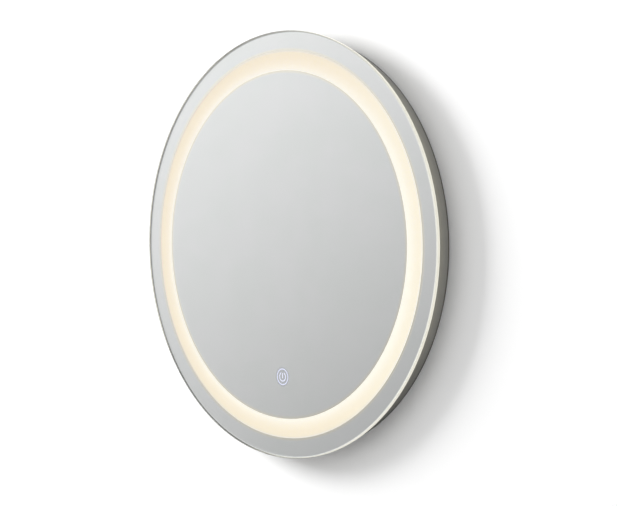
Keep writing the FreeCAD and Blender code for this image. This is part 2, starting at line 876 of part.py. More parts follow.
def make_driver():
    """Driver in its two-part box, screwed to the panel by its ears."""
    x = S.driver_x
    z = glass_z + S.driver_z
    wall = S.shell_wall
    inside_length = S.driver_length - wall * 2
    inside_width = S.driver_width - wall * 2
    base = slab("driver_base", x, panel_front, z,
                S.driver_length + S.ear_length * 2, S.ear_width, wall)
    add_slab(base, 0, 0, 0, S.driver_length, S.driver_width, S.base_height)
    hollow(base, wall, inside_length, inside_width, S.base_height)
    board_length = inside_length - S.board_play * 2
    board_width = inside_width - S.board_play * 2
    add_posts(base, wall, corners_of(board_length - S.post_inset, board_width - S.post_inset),
              S.post_dia / 2, S.post_height)
    drill(base, [(spot_x - S.driver_x, 0) for spot_x, spot_z in driver_spots()], screw_hole, wall)

    cover = slab("driver_cover", x, panel_front + S.base_height, z,
                 S.driver_length, S.driver_width, S.cover_height)
    hollow(cover, 0, inside_length, inside_width, S.cover_height - wall)
    outlets = new_sketch(cover, "YZ_Plane")
    draw_rectangle(outlets, -S.outlet_height / 2, 0, S.outlet_height, S.outlet_width)
    pocket(cover, outlets, S.driver_length + wall, both_ways=True)

    board_back = panel_front + wall + S.post_height
    slab("driver_board", x, board_back, z, board_length, board_width, S.board_thick)
    parts_back = board_back + S.board_thick
    core = slab("driver_transformer", x + S.core_x, parts_back, z,
                S.core_length, S.core_width, S.core_height)
    add_slab(core, 0, 0, 0, S.bobbin_length, S.bobbin_width, S.bobbin_height)
    capacitor = S.capacitor_dia / 2
    cans = new_body("driver_capacitors", x + S.capacitor_x, parts_back + capacitor,
                    z - S.capacitor_pitch)
    outline = new_sketch(cans, "YZ_Plane")
    draw_facets(outline, 0, 0, capacitor, HEAD_SIDES)
    first = pad(cans, outline, S.capacitor_length, both_ways=True)
    repeat_along(cans, [first], "Z_Axis", S.capacitors, S.capacitor_pitch)

    screws = new_body("driver_screws", 0, panel_front + wall, glass_z)
    fastener(screws, driver_spots(), S.head_dia / 2, S.head_height, screw_radius,
             S.driver_screw_length)


# ---------------------------------------------------------------- cable entry, terminals and earth


def pole_heights():
    """Heights of the three poles above the block's middle: earth, neutral and live."""
    return [S.pole_pitch * step for step in (-1, 0, 1)]


def make_entry():
    """Rubber grommet in the panel for the supply cable, and the three-pole terminal block."""
    neck = S.grommet_neck_dia / 2 - S.hole_play
    bore = S.grommet_bore_dia / 2
    grommet = new_body("cable_grommet", S.entry_x, 0, glass_z + S.entry_z)
    turn(grommet, [
        (bore, panel_back - S.grommet_lip),
        (S.grommet_dia / 2 - S.grommet_lip / 2, panel_back - S.grommet_lip),
        (S.grommet_dia / 2, panel_back),
        (neck, panel_back),
        (neck, panel_front),
        (S.grommet_dia / 2, panel_front),
        (S.grommet_dia / 2 - S.grommet_lip, panel_front + S.grommet_lip),
        (bore, panel_front + S.grommet_lip)])

    z = glass_z + S.block_z
    block = slab("terminal_block", S.block_x, panel_front, z,
                 S.block_length, S.pole_pitch * 3, S.block_height)
    bores = new_sketch(block, "YZ_Plane")
    for height in pole_heights():
        draw_facets(bores, -S.pole_bore_rise, height, S.pole_bore_dia / 2, HOLE_SIDES, True)
    pocket(block, bores, S.block_length * 2, both_ways=True)
    spots = [(0, height) for height in pole_heights()]
    drill(block, spots, S.pole_screw_dia / 2 + S.hole_play, S.block_height, rise=S.pole_bore_rise)
    seat = panel_front + S.block_height - S.pole_screw_sink - S.pole_screw_length
    screws = new_body("terminal_screws", S.block_x, seat, z)
    add_posts(screws, 0, spots, S.pole_screw_dia / 2, S.pole_screw_length)


def make_earth():
    """Earth stud through the panel, with its ring lug and nut."""
    x = S.stud_x
    z = glass_z + S.stud_z
    stud = new_body("earth_stud", x, panel_back, z)
    fastener(stud, [(0, 0)], S.stud_head_dia / 2, S.stud_head_height, S.stud_dia / 2,
             S.stud_length, heads_out=False)

    hole = S.stud_dia / 2 + S.hole_play
    lug = disc("earth_lug", x, panel_front, z, S.lug_dia / 2, S.lug_thick)
    drill(lug, [(0, 0)], hole, S.lug_thick)
    barrel = new_sketch(lug, "XY_Plane", rise=S.lug_dia / 2 - S.lug_thick)
    draw_facets(barrel, 0, -lug_barrel_rise, S.lug_barrel_dia / 2, HOLE_SIDES)
    pad(lug, barrel, S.lug_barrel_length)

    nut = new_body("earth_nut", x, panel_front + S.lug_thick, z)
    outline = new_sketch(nut, "XZ_Plane")
    corner = S.nut_width / math.sqrt(3)
    turns = [math.pi * step / 3 for step in range(6)]
    draw_polygon(outline, [(corner * math.cos(a), corner * math.sin(a)) for a in turns])
    pad(nut, outline, S.nut_height)
    drill(nut, [(0, 0)], hole, S.nut_height)


# ---------------------------------------------------------------- touch switch


def make_touch_switch():
    """Touch switch stuck to the back of the glass behind the symbol."""
    wall = S.switch_wall
    inside_width = S.switch_width - wall * 2
    inside_height = S.switch_height - wall * 2
    housing = slab("touch_housing", 0, switch_back, icon_z, S.switch_width, S.switch_height,
                   S.switch_depth)
    hollow(housing, wall, inside_width, inside_height, S.switch_depth)
    post_spots = corners_of(inside_width - S.switch_post_inset * 2,
                            inside_height - S.switch_post_inset * 2)
    add_posts(housing, wall, post_spots, S.switch_post_dia / 2, S.switch_post_height)
    outlet = S.switch_outlet_dia / 2
    side_outlet = new_sketch(housing, "YZ_Plane")
    draw_facets(side_outlet, -S.switch_outlet_rise, 0, outlet, HOLE_SIDES, True)
    pocket(housing, side_outlet, S.switch_width, reverse=True)
    lower_outlet = new_sketch(housing, "XY_Plane")
    draw_facets(lower_outlet, 0, -S.switch_outlet_rise, outlet, HOLE_SIDES, True)
    pocket(housing, lower_outlet, S.switch_height)

    tape = slab("touch_tape", 0, switch_front, icon_z, S.switch_width, S.switch_height,
                S.switch_tape)
    guide = S.guide_dia / 2
    bore_middle(tape, guide + S.guide_play, S.switch_tape)
    disc("icon_guide", 0, coat_back - S.guide_gap - S.guide_thick, icon_z, guide, S.guide_thick)
    pad_inside = guide + S.guide_play
    electrode = disc("touch_pad", 0, switch_front - S.pad_thick, icon_z,
                     pad_inside + S.pad_width, S.pad_thick)
    bore_middle(electrode, pad_inside, S.pad_thick)

    board_back = switch_back + wall + S.switch_post_height
    slab("touch_board", 0, board_back, icon_z, inside_width - S.switch_board_play * 2,
         inside_height - S.switch_board_play * 2, S.switch_board_thick)
    chips = slab("touch_chips", 0, board_back + S.switch_board_thick, icon_z,
                 S.switch_chip, S.switch_chip, S.switch_chip_height)
    add_slab(chips, 0, -S.switch_chip * 2.5, S.switch_chip, S.switch_chip, S.switch_chip * 1.5,
             S.switch_chip_height)


# ---------------------------------------------------------------- leads


def glass_point(x, depth, z):
    """A point at x, at a depth out from the wall, and at z from the glass centre."""
    return FreeCAD.Vector(x, -depth, z + glass_z.value)


def lead_section(start, heading, radius):
    """A small many-sided outline round the start of a lead, square to its heading."""
    across = heading.cross(FreeCAD.Vector(0, 1, 0)).normalize()
    upright = across.cross(heading)
    turns = [2 * math.pi * index / LEAD_SIDES for index in range(LEAD_SIDES + 1)]
    return Part.makePolygon([start + across * (radius * math.cos(angle))
                             + upright * (radius * math.sin(angle)) for angle in turns])


def make_lead(label, points, diameter):
    """A lead along points: straight runs joined by tangent arcs as large as the runs allow."""
    edges = []
    radii = []
    position = points[0]
    for before, corner, after in zip(points, points[1:], points[2:]):
        arriving = (corner - before).normalize()
        leaving = (after - corner).normalize()
        half_turn = arriving.getAngle(leaving) / 2
        shorter = min((corner - before).Length, (after - corner).Length)
        trim = S.lead_turn.value * shorter
        radii.append(trim / math.tan(half_turn))
        start = corner - arriving * trim
        end = corner + leaving * trim
        bisector = (leaving - arriving).normalize()
        centre = corner + bisector * (radii[-1] / math.cos(half_turn))
        middle = centre - bisector * radii[-1]
        edges.append(Part.LineSegment(position, start).toShape())
        edges.append(Part.Arc(start, middle, end).toShape())
        position = end
    edges.append(Part.LineSegment(position, points[-1]).toShape())
    path = Part.Wire(edges)
    section = lead_section(points[0], (points[1] - points[0]).normalize(), diameter.value / 2)
    tube = path.makePipeShell([section], True, False)
    expected = Part.Face(section).Area * path.Length
    print(f"{label}: length {path.Length:.1f}, least arc radius {min(radii):.1f}, "
          f"volume {tube.Volume / expected:.4f} of section times length")
    code_piece(label, tube)


def make_leads():
    """Leads from the terminals to the driver and the earth stud, and on to the switch and strip."""
    pole_out = S.block_x.value + S.block_length.value / 2
    pole_depth = (panel_front + S.pole_bore_rise).value
    earth_z, neutral_z, live_z = [(S.block_z + height).value for height in pole_heights()]
    driver_left = (S.driver_x - S.driver_length / 2).value
    driver_right = (S.driver_x + S.driver_length / 2).value
    outlet_z = S.driver_z.value
    outlet_depth = (panel_front + S.base_height + S.outlet_height / 2).value
    reach = S.lead_reach.value
    for label, pole_z, side in (("live_lead", live_z, 1), ("neutral_lead", neutral_z, -1)):
        at_outlet = outlet_z + side * S.core_lead_dia.value * 0.65
        make_lead(label, [
            glass_point(pole_out - reach * 0.5, pole_depth, pole_z),
            glass_point(pole_out + reach * 0.9, pole_depth, pole_z),
            glass_point(pole_out + reach * 2.6, pole_depth + reach * 0.2,
                        pole_z - reach * (0.3 - side * 0.1)),
            glass_point(driver_left - reach * 0.7, outlet_depth, at_outlet + side * reach * 0.06),
            glass_point(driver_left + reach * 0.6, outlet_depth, at_outlet)], S.core_lead_dia)
    barrel_top = (S.stud_z + S.lug_dia / 2 - S.lug_thick + S.lug_barrel_length).value
    barrel_depth = (panel_front + lug_barrel_rise).value
    stud_x = S.stud_x.value
    make_lead("earth_lead", [
        glass_point(pole_out - reach * 0.5, pole_depth, earth_z),
        glass_point(pole_out + reach, pole_depth, earth_z),
        glass_point(pole_out + reach * 1.7, pole_depth - reach * 0.05, earth_z - reach * 1.4),
        glass_point(stud_x + reach, barrel_depth + reach * 0.1, barrel_top + reach * 2.5),
        glass_point(stud_x, barrel_depth, barrel_top + reach * 1.2),
        glass_point(stud_x, barrel_depth, barrel_top)], S.core_lead_dia)

    switch_edge = (S.switch_width / 2 - S.switch_wall).value
    switch_depth = (switch_back + S.switch_outlet_rise).value
    low_end = (S.switch_height / 2 - S.switch_wall).value
    middle_z = -icon_drop.value
    rest_depth = (panel_front + S.twin_lead_dia / 2 + S.clip_play * 2).value
    route = [
        glass_point(driver_right - reach * 0.8, outlet_depth, outlet_z),
        glass_point(driver_right + reach * 0.8, outlet_depth, outlet_z),
        glass_point(driver_right + reach * 2.8, outlet_depth - reach * 0.1, outlet_z - reach * 0.9),
        glass_point(driver_right + reach * 4.3, rest_depth, outlet_z - reach * 4),
        glass_point(driver_right + reach * 4.7, rest_depth, outlet_z - reach * 9.5),
        glass_point(switch_edge + reach * 12, rest_depth, middle_z + reach * 9),
        glass_point(switch_edge + reach * 8.6, rest_depth, middle_z + reach * 4.6),
        glass_point(switch_edge + reach * 4.8, switch_depth - reach * 0.5, middle_z + reach * 1.4),
        glass_point(switch_edge + reach * 1.8, switch_depth, middle_z + reach * 0.1),
        glass_point(switch_edge, switch_depth, middle_z)]
    make_lead("switch_lead", route, S.twin_lead_dia)
    make_clips([(route[3], route[4]), (route[4], route[5]), (route[5], route[6])])

    joiner_end = (channel_middle - S.strip_width / 2 - S.joiner_overhang).value
    strip_depth = strip_lead_depth.value
    make_lead("strip_lead", [
        glass_point(0, switch_depth, middle_z - low_end),
        glass_point(reach * 0.15, switch_depth - reach * 0.05, middle_z - low_end - reach * 0.9),
        glass_point(reach * 0.3, (switch_depth + strip_depth) / 2, middle_z - low_end - reach * 1.9),
        glass_point(reach * 0.1, strip_depth, -joiner_end + reach * 1.7),
        glass_point(0, strip_depth, -joiner_end + reach * 0.7),
        glass_point(0, strip_depth, -joiner_end)], S.twin_lead_dia)


def make_clips(runs):
    """Adhesive saddle clips on the panel, one round the middle of each run."""
    back = panel_front.value
    width, height, length = S.clip_width.value, S.clip_height.value, S.clip_length.value
    solids = []
    for start, end in runs:
        middle = (start + end) / 2
        heading = math.degrees(math.atan2(end.x - start.x, end.z - start.z))
        saddle = Part.makeBox(width, height, length, FreeCAD.Vector(-width / 2, -height, -length / 2))
        top_edges = [edge for edge in saddle.Edges
                     if edge.BoundBox.YMax < -height + 0.001 and edge.BoundBox.ZLength > length / 2]
        saddle = saddle.makeChamfer(height / 3, top_edges)
        bore = Part.makeCylinder(S.twin_lead_dia.value / 2 + S.clip_play.value, length * 2,
                                 FreeCAD.Vector(0, middle.y + back, -length))
        clip = saddle.cut(bore)
        clip.Placement = FreeCAD.Placement(
            FreeCAD.Vector(middle.x, -back, middle.z),
            FreeCAD.Rotation(FreeCAD.Vector(0, 1, 0), heading))
        solids.append(clip)
    code_piece("lead_clips", Part.makeCompound(solids))


# ---------------------------------------------------------------- checks and files


def check_document():
    """Stop if any object failed, or any piece is missing, empty or not valid."""
    doc.recompute()
    for item in doc.Objects:
        if {"Invalid", "Error"} & set(item.State):
            raise RuntimeError(f"{item.Label} failed: {item.State}")
    for piece in pieces:
        if piece.Shape.isNull() or not piece.Shape.isValid() or not piece.Shape.Solids:
            raise RuntimeError(f"{piece.Label} has no valid solid")


def write_pieces():
    """Write one file for each piece, named by its label."""
    os.makedirs("parts", exist_ok=True)
    for piece in pieces:
        piece.Shape.exportStep(f"parts/{piece.Label}.step")
        print(f"{piece.Label}: {len(piece.Shape.Solids)} solids, {piece.Shape.Volume:.1f} mm3")


make_glass()
make_silver_coat()
make_bonding_tape()
make_light_channel()
make_diffuser()
make_led_strip()
make_frame()
make_splice()
make_back_panel()
make_hanging_bars()
make_bumpers()
make_driver()
make_entry()
make_earth()
make_touch_switch()
make_leads()
check_document()
write_pieces()
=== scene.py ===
# %% [markdown]
# # A lighted round bathroom mirror
# The mirror is a 5 mm glass disc on a slim metal casing that hangs on a wall bar. A clear band in
# its silvering glows, and so does a small touch symbol. The solids come from the CAD model, and
# these cells give them their finishes, add the fine pieces, and set up the wall, light and camera.

# %% The frame
import json
import math

import bpy
import numpy as np
from mathutils import Matrix, Vector


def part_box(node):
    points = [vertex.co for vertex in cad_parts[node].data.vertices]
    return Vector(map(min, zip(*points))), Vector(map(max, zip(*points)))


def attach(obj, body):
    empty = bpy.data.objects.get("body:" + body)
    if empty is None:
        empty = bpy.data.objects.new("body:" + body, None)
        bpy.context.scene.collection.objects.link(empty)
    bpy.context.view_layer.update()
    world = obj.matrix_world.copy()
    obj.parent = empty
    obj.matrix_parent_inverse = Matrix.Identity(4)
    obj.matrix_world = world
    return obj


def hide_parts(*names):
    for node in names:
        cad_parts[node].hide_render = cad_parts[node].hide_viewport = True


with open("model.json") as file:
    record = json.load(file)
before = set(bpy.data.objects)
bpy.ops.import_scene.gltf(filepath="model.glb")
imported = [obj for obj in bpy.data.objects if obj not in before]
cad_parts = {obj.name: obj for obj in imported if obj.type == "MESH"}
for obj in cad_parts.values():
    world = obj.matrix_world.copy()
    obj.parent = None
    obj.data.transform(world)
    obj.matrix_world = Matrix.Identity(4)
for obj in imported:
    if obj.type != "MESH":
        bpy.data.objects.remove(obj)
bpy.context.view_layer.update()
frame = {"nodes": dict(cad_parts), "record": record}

nodes = frame["nodes"]
print("pieces from the CAD model:", len(nodes))

# %% [markdown]
# ## Sizes read from the frame
# The places below come from the boxes of the imported pieces, so that the finishes and the new
# pieces follow them. Only the width of the clear band, and how far the opal ring reaches past it,
# are written as numbers. The mirror is round about an axis that runs along Y through the middle of
# its glass.

# %% Measure the glass, the band and the symbol
MM = 0.001
RING_OVERLAP = 3.0 * MM  # how far the opal ring reaches past the clear band on each side
BAND_WIDTH = 27.6 * MM

glass_low, glass_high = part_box("mirror_glass")
coat_low, coat_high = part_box("silver_coat")
diffuser_low, diffuser_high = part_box("diffuser_ring")
frame_low, frame_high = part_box("frame_ring")
guide_low, guide_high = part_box("icon_guide")

glass_radius = (glass_high.x - glass_low.x) / 2
glass_z = (glass_high.z + glass_low.z) / 2
glass_front = glass_low.y
frame_radius = (frame_high.x - frame_low.x) / 2
band_outer = (diffuser_high.x - diffuser_low.x) / 2 - RING_OVERLAP
band_inner = band_outer - BAND_WIDTH
icon_z = (guide_low.z + guide_high.z) / 2
print(f"glass radius {glass_radius:.4f}, band {band_inner:.4f} to {band_outer:.4f} m")

# %% [markdown]
# ## The camera
# The photograph looks at the mirror from its right, level with its middle, through a long lens. The
# numbers were fitted to the outlines of the glass, the band, the symbol and the casing. The place
# is counted in glass radii from the middle of the glass's front, so that it follows the glass if
# its size ever changes. Yaw turns the view to the left, and the small roll levels it as the
# photograph was held.

# %% Place the camera
CAMERA_PLACE = Vector((5.2, -4.6991, -0.0231))
CAMERA_YAW = math.radians(46.7374)
CAMERA_PITCH = math.radians(0.1509)
CAMERA_ROLL = math.radians(-1.3506)
CAMERA_LENS = 87.08

glass_middle = Vector((0, glass_front, glass_z))
camera = bpy.data.objects.new("camera", bpy.data.cameras.new("camera"))
bpy.context.scene.collection.objects.link(camera)
camera.data.lens = CAMERA_LENS
forward = Vector((
    -math.sin(CAMERA_YAW) * math.cos(CAMERA_PITCH),
    math.cos(CAMERA_YAW) * math.cos(CAMERA_PITCH),
    -math.sin(CAMERA_PITCH)))
level = Vector((math.cos(CAMERA_YAW), math.sin(CAMERA_YAW), 0))
upright = level.cross(forward)
side = level * math.cos(CAMERA_ROLL) + upright * math.sin(CAMERA_ROLL)
top = upright * math.cos(CAMERA_ROLL) - level * math.sin(CAMERA_ROLL)
turned = Matrix((side, top, -forward)).transposed().to_4x4()
camera.matrix_world = Matrix.Translation(glass_middle + CAMERA_PLACE * glass_radius) @ turned
bpy.context.scene.camera = camera
print("camera at", [round(value, 3) for value in camera.location])

# %% [markdown]
# ## Building materials with nodes
# A material is a small graph: texture nodes make numbers that vary over the surface, and the
# Principled shader turns them into a finish. Writing each node by hand takes many lines, so one
# short helper adds a node, sets its options and fills its inputs. Others start a material, say
# where a point lies and which way it faces, and link a finish to its shader.


# %% Helpers for nodes and colours
def add(tree, kind, inputs=None, **options):
    """Add a node: options are its settings, and inputs holds values or sockets to link from."""
    node = tree.nodes.new(kind)
    for name, value in options.items():
        setattr(node, name, value)
    for name, value in (inputs or {}).items():
        if isinstance(value, bpy.types.NodeSocket):
            tree.links.new(value, node.inputs[name])
        else:
            node.inputs[name].default_value = value
    return node


def maths(tree, operation, first, second=0.0):
    """One sum of two values or sockets, given back as a socket."""
    return add(tree, "ShaderNodeMath", {0: first, 1: second}, operation=operation).outputs[0]


def between(tree, value, low, high, at_low=0.0, at_high=1.0):
    """A value turned smoothly from at_low to at_high as it goes from low to high."""
    step = add(tree, "ShaderNodeMapRange",
               {"Value": value, "From Min": low, "From Max": high, "To Min": at_low,
                "To Max": at_high}, interpolation_type="SMOOTHSTEP")
    return step.outputs["Result"]


def blend(tree, amount, first, second):
    """A colour that goes from the first to the second as the amount goes from 0 to 1."""
    mix = add(tree, "ShaderNodeMix", {0: amount, 6: first, 7: second}, data_type="RGBA")
    return mix.outputs[2]


def colour(red, green, blue):
    """A screen's colour, 0 to 255, as the linear values of nodes: the standard sRGB curve."""
    shown = np.array((red, green, blue)) / 255
    linear = np.where(shown <= 0.04045, shown / 12.92, ((shown + 0.055) / 1.055) ** 2.4)
    return (*linear.tolist(), 1.0)


def new_finish(name):
    """Start a material: gives it, its node tree and its Principled shader."""
    material = bpy.data.materials.new(name)
    material.use_nodes = True
    return material, material.node_tree, material.node_tree.nodes["Principled BSDF"]


def place_of(tree):
    """The place of the shaded point on its own piece, in metres."""
    return add(tree, "ShaderNodeTexCoord").outputs["Object"]


def facing_of(tree):
    """The Y of the surface's direction: 1 where it faces the wall, -1 where it faces the room."""
    normal = add(tree, "ShaderNodeTexCoord").outputs["Normal"]
    return add(tree, "ShaderNodeSeparateXYZ", {0: normal}).outputs["Y"]


def link_finish(tree, shader, base, roughness, height=None, bump=0.0):
    """Link a colour and a roughness to the shader and, where there is a height, a bump."""
    tree.links.new(base, shader.inputs["Base Color"])
    tree.links.new(roughness, shader.inputs["Roughness"])
    if height is not None:
        relief = add(tree, "ShaderNodeBump", {"Height": height, "Distance": bump})
        tree.links.new(relief.outputs[0], shader.inputs["Normal"])


print("white as linear values:", [round(value, 3) for value in colour(255, 255, 255)])

# %% [markdown]
# ## Effects shared by many finishes
# A node group is a graph used in many materials. Three are enough here. The first says where a
# point lies on the round mirror: how far from the axis, at what angle, and how far out from the
# wall. The second is the fine unevenness of moulded and coated surfaces. The third is the grain of
# rolled or drawn metal, which is noise stretched along one direction.


# %% Helper for node groups
def new_group(name, inputs, outputs):
    """Start a node group whose sockets are (name, kind, default), and give its tree and ends."""
    group = bpy.data.node_groups.new(name, "ShaderNodeTree")
    for in_out, sockets in (("INPUT", inputs), ("OUTPUT", outputs)):
        for socket, kind, value in sockets:
            made = group.interface.new_socket(socket, in_out=in_out, socket_type="NodeSocket" + kind)
            if value is not None:
                made.default_value = value
    return group, group.nodes.new("NodeGroupInput"), group.nodes.new("NodeGroupOutput")


def use(tree, group, **inputs):
    """Place a group in a material with its own values, and give back its outputs."""
    return add(tree, "ShaderNodeGroup", inputs, node_tree=group).outputs


# %% Group: where a point lies on the round mirror
round_place, given, result = new_group(
    "place on the mirror",
    [("Vector", "Vector", None), ("Height", "Float", 0.0)],
    [("Radius", "Float", None), ("Turn", "Float", None), ("Depth", "Float", None)])
axes = add(round_place, "ShaderNodeSeparateXYZ", {0: given.outputs["Vector"]}).outputs
rise = maths(round_place, "SUBTRACT", axes["Z"], given.outputs["Height"])
squares = maths(round_place, "ADD", maths(round_place, "POWER", axes["X"], 2.0),
                maths(round_place, "POWER", rise, 2.0))
round_place.links.new(maths(round_place, "SQRT", squares), result.inputs["Radius"])
round_place.links.new(maths(round_place, "ARCTAN2", rise, axes["X"]), result.inputs["Turn"])
round_place.links.new(maths(round_place, "MULTIPLY", axes["Y"], -1.0), result.inputs["Depth"])
print("group:", round_place.name)

# %% Group: the fine unevenness of a coated or moulded surface
FINER = 14.0  # how many times finer the texture is than the patches
PATCH_BORDER = (0.35, 0.65)  # noise values between which one colour turns into the other
unevenness, given, result = new_group(
    "unevenness",
    [("Vector", "Vector", None), ("Size", "Float", 0.01), ("Colour", "Color", None),
     ("Shade", "Color", None), ("Roughness", "Float", 0.5), ("Spread", "Float", 0.1)],
    [("Colour", "Color", None), ("Roughness", "Float", None), ("Height", "Float", None)])
coarse = add(unevenness, "ShaderNodeTexNoise",
             {"Vector": given.outputs["Vector"],
              "Scale": maths(unevenness, "DIVIDE", 1.0, given.outputs["Size"]),
              "Detail": 4.0, "Roughness": 0.6}).outputs["Fac"]
fine = add(unevenness, "ShaderNodeTexNoise",
           {"Vector": given.outputs["Vector"],
            "Scale": maths(unevenness, "DIVIDE", FINER, given.outputs["Size"]),
            "Detail": 2.0}).outputs["Fac"]
patches = between(unevenness, coarse, *PATCH_BORDER)
unevenness.links.new(blend(unevenness, patches, given.outputs["Colour"], given.outputs["Shade"]),
                     result.inputs["Colour"])
wander = maths(unevenness, "MULTIPLY", maths(unevenness, "SUBTRACT", fine, 0.5),
               given.outputs["Spread"])
drift = maths(unevenness, "MULTIPLY", maths(unevenness, "SUBTRACT", coarse, 0.5),
              given.outputs["Spread"])
unevenness.links.new(
    maths(unevenness, "ADD", given.outputs["Roughness"], maths(unevenness, "ADD", wander, drift)),
    result.inputs["Roughness"])
unevenness.links.new(fine, result.inputs["Height"])
print("group:", unevenness.name)

# %% Group: the grain of drawn metal
STREAK_BORDER = (0.3, 0.7)
grain, given, result = new_group(
    "metal grain",
    [("Vector", "Vector", None), ("Stretch", "Vector", (40.0, 3000.0, 3000.0)),
     ("Colour", "Color", None), ("Shade", "Color", None), ("Roughness", "Float", 0.35),
     ("Spread", "Float", 0.15)],
    [("Colour", "Color", None), ("Roughness", "Float", None), ("Height", "Float", None)])
drawn = add(grain, "ShaderNodeVectorMath",
            {0: given.outputs["Vector"], 1: given.outputs["Stretch"]}, operation="MULTIPLY")
streaks = add(grain, "ShaderNodeTexNoise",
              {"Vector": drawn.outputs[0], "Scale": 1.0, "Detail": 3.0}).outputs["Fac"]
amount = between(grain, streaks, *STREAK_BORDER)
grain.links.new(blend(grain, amount, given.outputs["Colour"], given.outputs["Shade"]),
                result.inputs["Colour"])
grain.links.new(
    maths(grain, "ADD", given.outputs["Roughness"],
          maths(grain, "MULTIPLY", maths(grain, "SUBTRACT", amount, 0.5),
                given.outputs["Spread"])),
    result.inputs["Roughness"])
grain.links.new(amount, result.inputs["Height"])
print("group:", grain.name)

# %% [markdown]
# ## Plain finishes
# Most pieces are moulded plastic, rubber, coated sheet or plated metal. Each family differs only in
# its colours, roughness and the size of its unevenness, so a short table holds those choices and
# one function builds the graph. Bump is a few hundredths of a millimetre, as on real mouldings, and
# a little more on foam.


# %% Moulded and coated finishes
def moulded(name, main, shade, roughness, size, bump):
    """Plastic, rubber, paint or foam: patches of two near colours and a fine texture."""
    material, tree, shader = new_finish(name)
    made = use(tree, unevenness, Vector=place_of(tree), Size=size, Colour=main, Shade=shade,
               Roughness=roughness, Spread=MOULDED_SPREAD)
    link_finish(tree, shader, made["Colour"], made["Roughness"], made["Height"], bump)
    return material


MOULDED_SPREAD = 0.12
MOULDED = {
    # main colour, shade, roughness, size of the patches, bump
    "foam_tape": (colour(226, 226, 222), colour(214, 214, 209), 0.85, 3 * MM, 0.15 * MM),
    "rubber": (colour(34, 34, 35), colour(46, 46, 46), 0.72, 6 * MM, 0.08 * MM),
    "channel_white": (colour(243, 243, 239), colour(234, 234, 229), 0.5, 9 * MM, 0.05 * MM),
    "connector_white": (colour(238, 237, 231), colour(226, 224, 216), 0.45, 5 * MM, 0.03 * MM),
    "driver_white": (colour(236, 236, 232), colour(224, 224, 219), 0.55, 7 * MM, 0.06 * MM),
    "ferrite": (colour(58, 57, 58), colour(42, 41, 43), 0.62, 4 * MM, 0.08 * MM),
    "capacitor_black": (colour(30, 30, 36), colour(44, 44, 52), 0.28, 6 * MM, 0.02 * MM),
    "terminal_clear": (colour(222, 224, 222), colour(205, 208, 206), 0.35, 5 * MM, 0.03 * MM),
    "switch_black": (colour(40, 40, 41), colour(52, 52, 54), 0.5, 5 * MM, 0.05 * MM),
    "lead_brown": (colour(104, 62, 36), colour(88, 50, 28), 0.42, 4 * MM, 0.03 * MM),
    "lead_blue": (colour(44, 96, 170), colour(34, 80, 148), 0.42, 4 * MM, 0.03 * MM),
    "lead_white": (colour(238, 238, 234), colour(224, 224, 219), 0.42, 4 * MM, 0.03 * MM),
}
finishes = {name: moulded(name, *values) for name, values in MOULDED.items()}
print("moulded finishes:", len(finishes))


# %% Plated and drawn finishes
def plated(name, main, shade, roughness, stretch):
    """Bare or plated metal with a grain along the direction that is stretched least."""
    material, tree, shader = new_finish(name)
    shader.inputs["Metallic"].default_value = 1.0
    made = use(tree, grain, Vector=place_of(tree), Stretch=stretch, Colour=main, Shade=shade,
               Roughness=roughness)
    link_finish(tree, shader, made["Colour"], made["Roughness"], made["Height"], METAL_BUMP)
    return material


METAL_BUMP = 0.01 * MM
ALONG_X = (60.0, 2500.0, 2500.0)
ALL_WAYS = (900.0, 900.0, 900.0)
PLATED = {
    # main colour, shade, roughness, stretch of the grain
    "splice_metal": (colour(214, 214, 212), colour(196, 196, 194), 0.38, ALONG_X),
    "bar_steel": (colour(226, 228, 233), colour(204, 207, 214), 0.3, ALONG_X),
    "screw_steel": (colour(238, 238, 235), colour(216, 216, 212), 0.24, ALL_WAYS),
    "terminal_brass": (colour(222, 190, 118), colour(200, 166, 96), 0.32, ALL_WAYS),
    "copper": (colour(222, 152, 112), colour(196, 124, 88), 0.4, ALL_WAYS),
}
finishes.update({name: plated(name, *values) for name, values in PLATED.items()})
print("finishes so far:", len(finishes))

# %% [markdown]
# ## The silvering
# Silvering is a mirror from the front and dull grey protective paint from behind, where the rim
# overhangs the casing. The surface's own direction tells them apart: a point that faces back to
# the wall gets the paint. Real silver is almost perfect, so it has no roughness and its colour
# wanders only a little, and it dulls at the very rim, where damp reaches it first. Beside the
# light band the silver is painted warmer, a painted glow of the band's light, and round the symbol
# it is painted darker and bluer, a painted shade.

# %% Silver in front, paint behind
PAINT_FACING = 0.5
RIM_FADE = (glass_radius - 2.7 * MM, glass_radius - 0.9 * MM)
# painted light: the glow of the band's light makes the silver warmer beside the band
BAND_GLOW_FADE = (1.0 * MM, 5.5 * MM)  # distances from the band
BAND_GLOW_ON_SILVER = (0.96, 0.93, 0.84, 1)
# painted shade: the silver darker and bluer round the symbol
SYMBOL_SHADE_FADE = (12.5 * MM, 15.5 * MM)  # distances from the middle of the symbol
SYMBOL_SHADE_ON_SILVER = (0.78, 0.80, 0.85, 1)
material, tree, shader = new_finish("silver")
spot = place_of(tree)
where = use(tree, round_place, Vector=spot, Height=glass_z)
paint_side = maths(tree, "GREATER_THAN", facing_of(tree), PAINT_FACING)
cloudy = use(tree, unevenness, Vector=spot, Size=60 * MM, Colour=colour(246, 247, 248),
             Shade=colour(244, 246, 246), Roughness=0.0, Spread=0.0)
rim = between(tree, where["Radius"], *RIM_FADE)
silver_colour = blend(tree, rim, cloudy["Colour"], colour(238, 240, 238))
from_band = maths(tree, "MAXIMUM", maths(tree, "SUBTRACT", band_inner, where["Radius"]),
                  maths(tree, "SUBTRACT", where["Radius"], band_outer))
beside = between(tree, from_band, *BAND_GLOW_FADE, 1.0, 0.0)
silver_colour = blend(tree, beside, silver_colour, BAND_GLOW_ON_SILVER)
from_icon = use(tree, round_place, Vector=spot, Height=icon_z)["Radius"]
symbol_shade = between(tree, from_icon, *SYMBOL_SHADE_FADE, 1.0, 0.0)
silver_colour = blend(tree, symbol_shade, silver_colour, SYMBOL_SHADE_ON_SILVER)
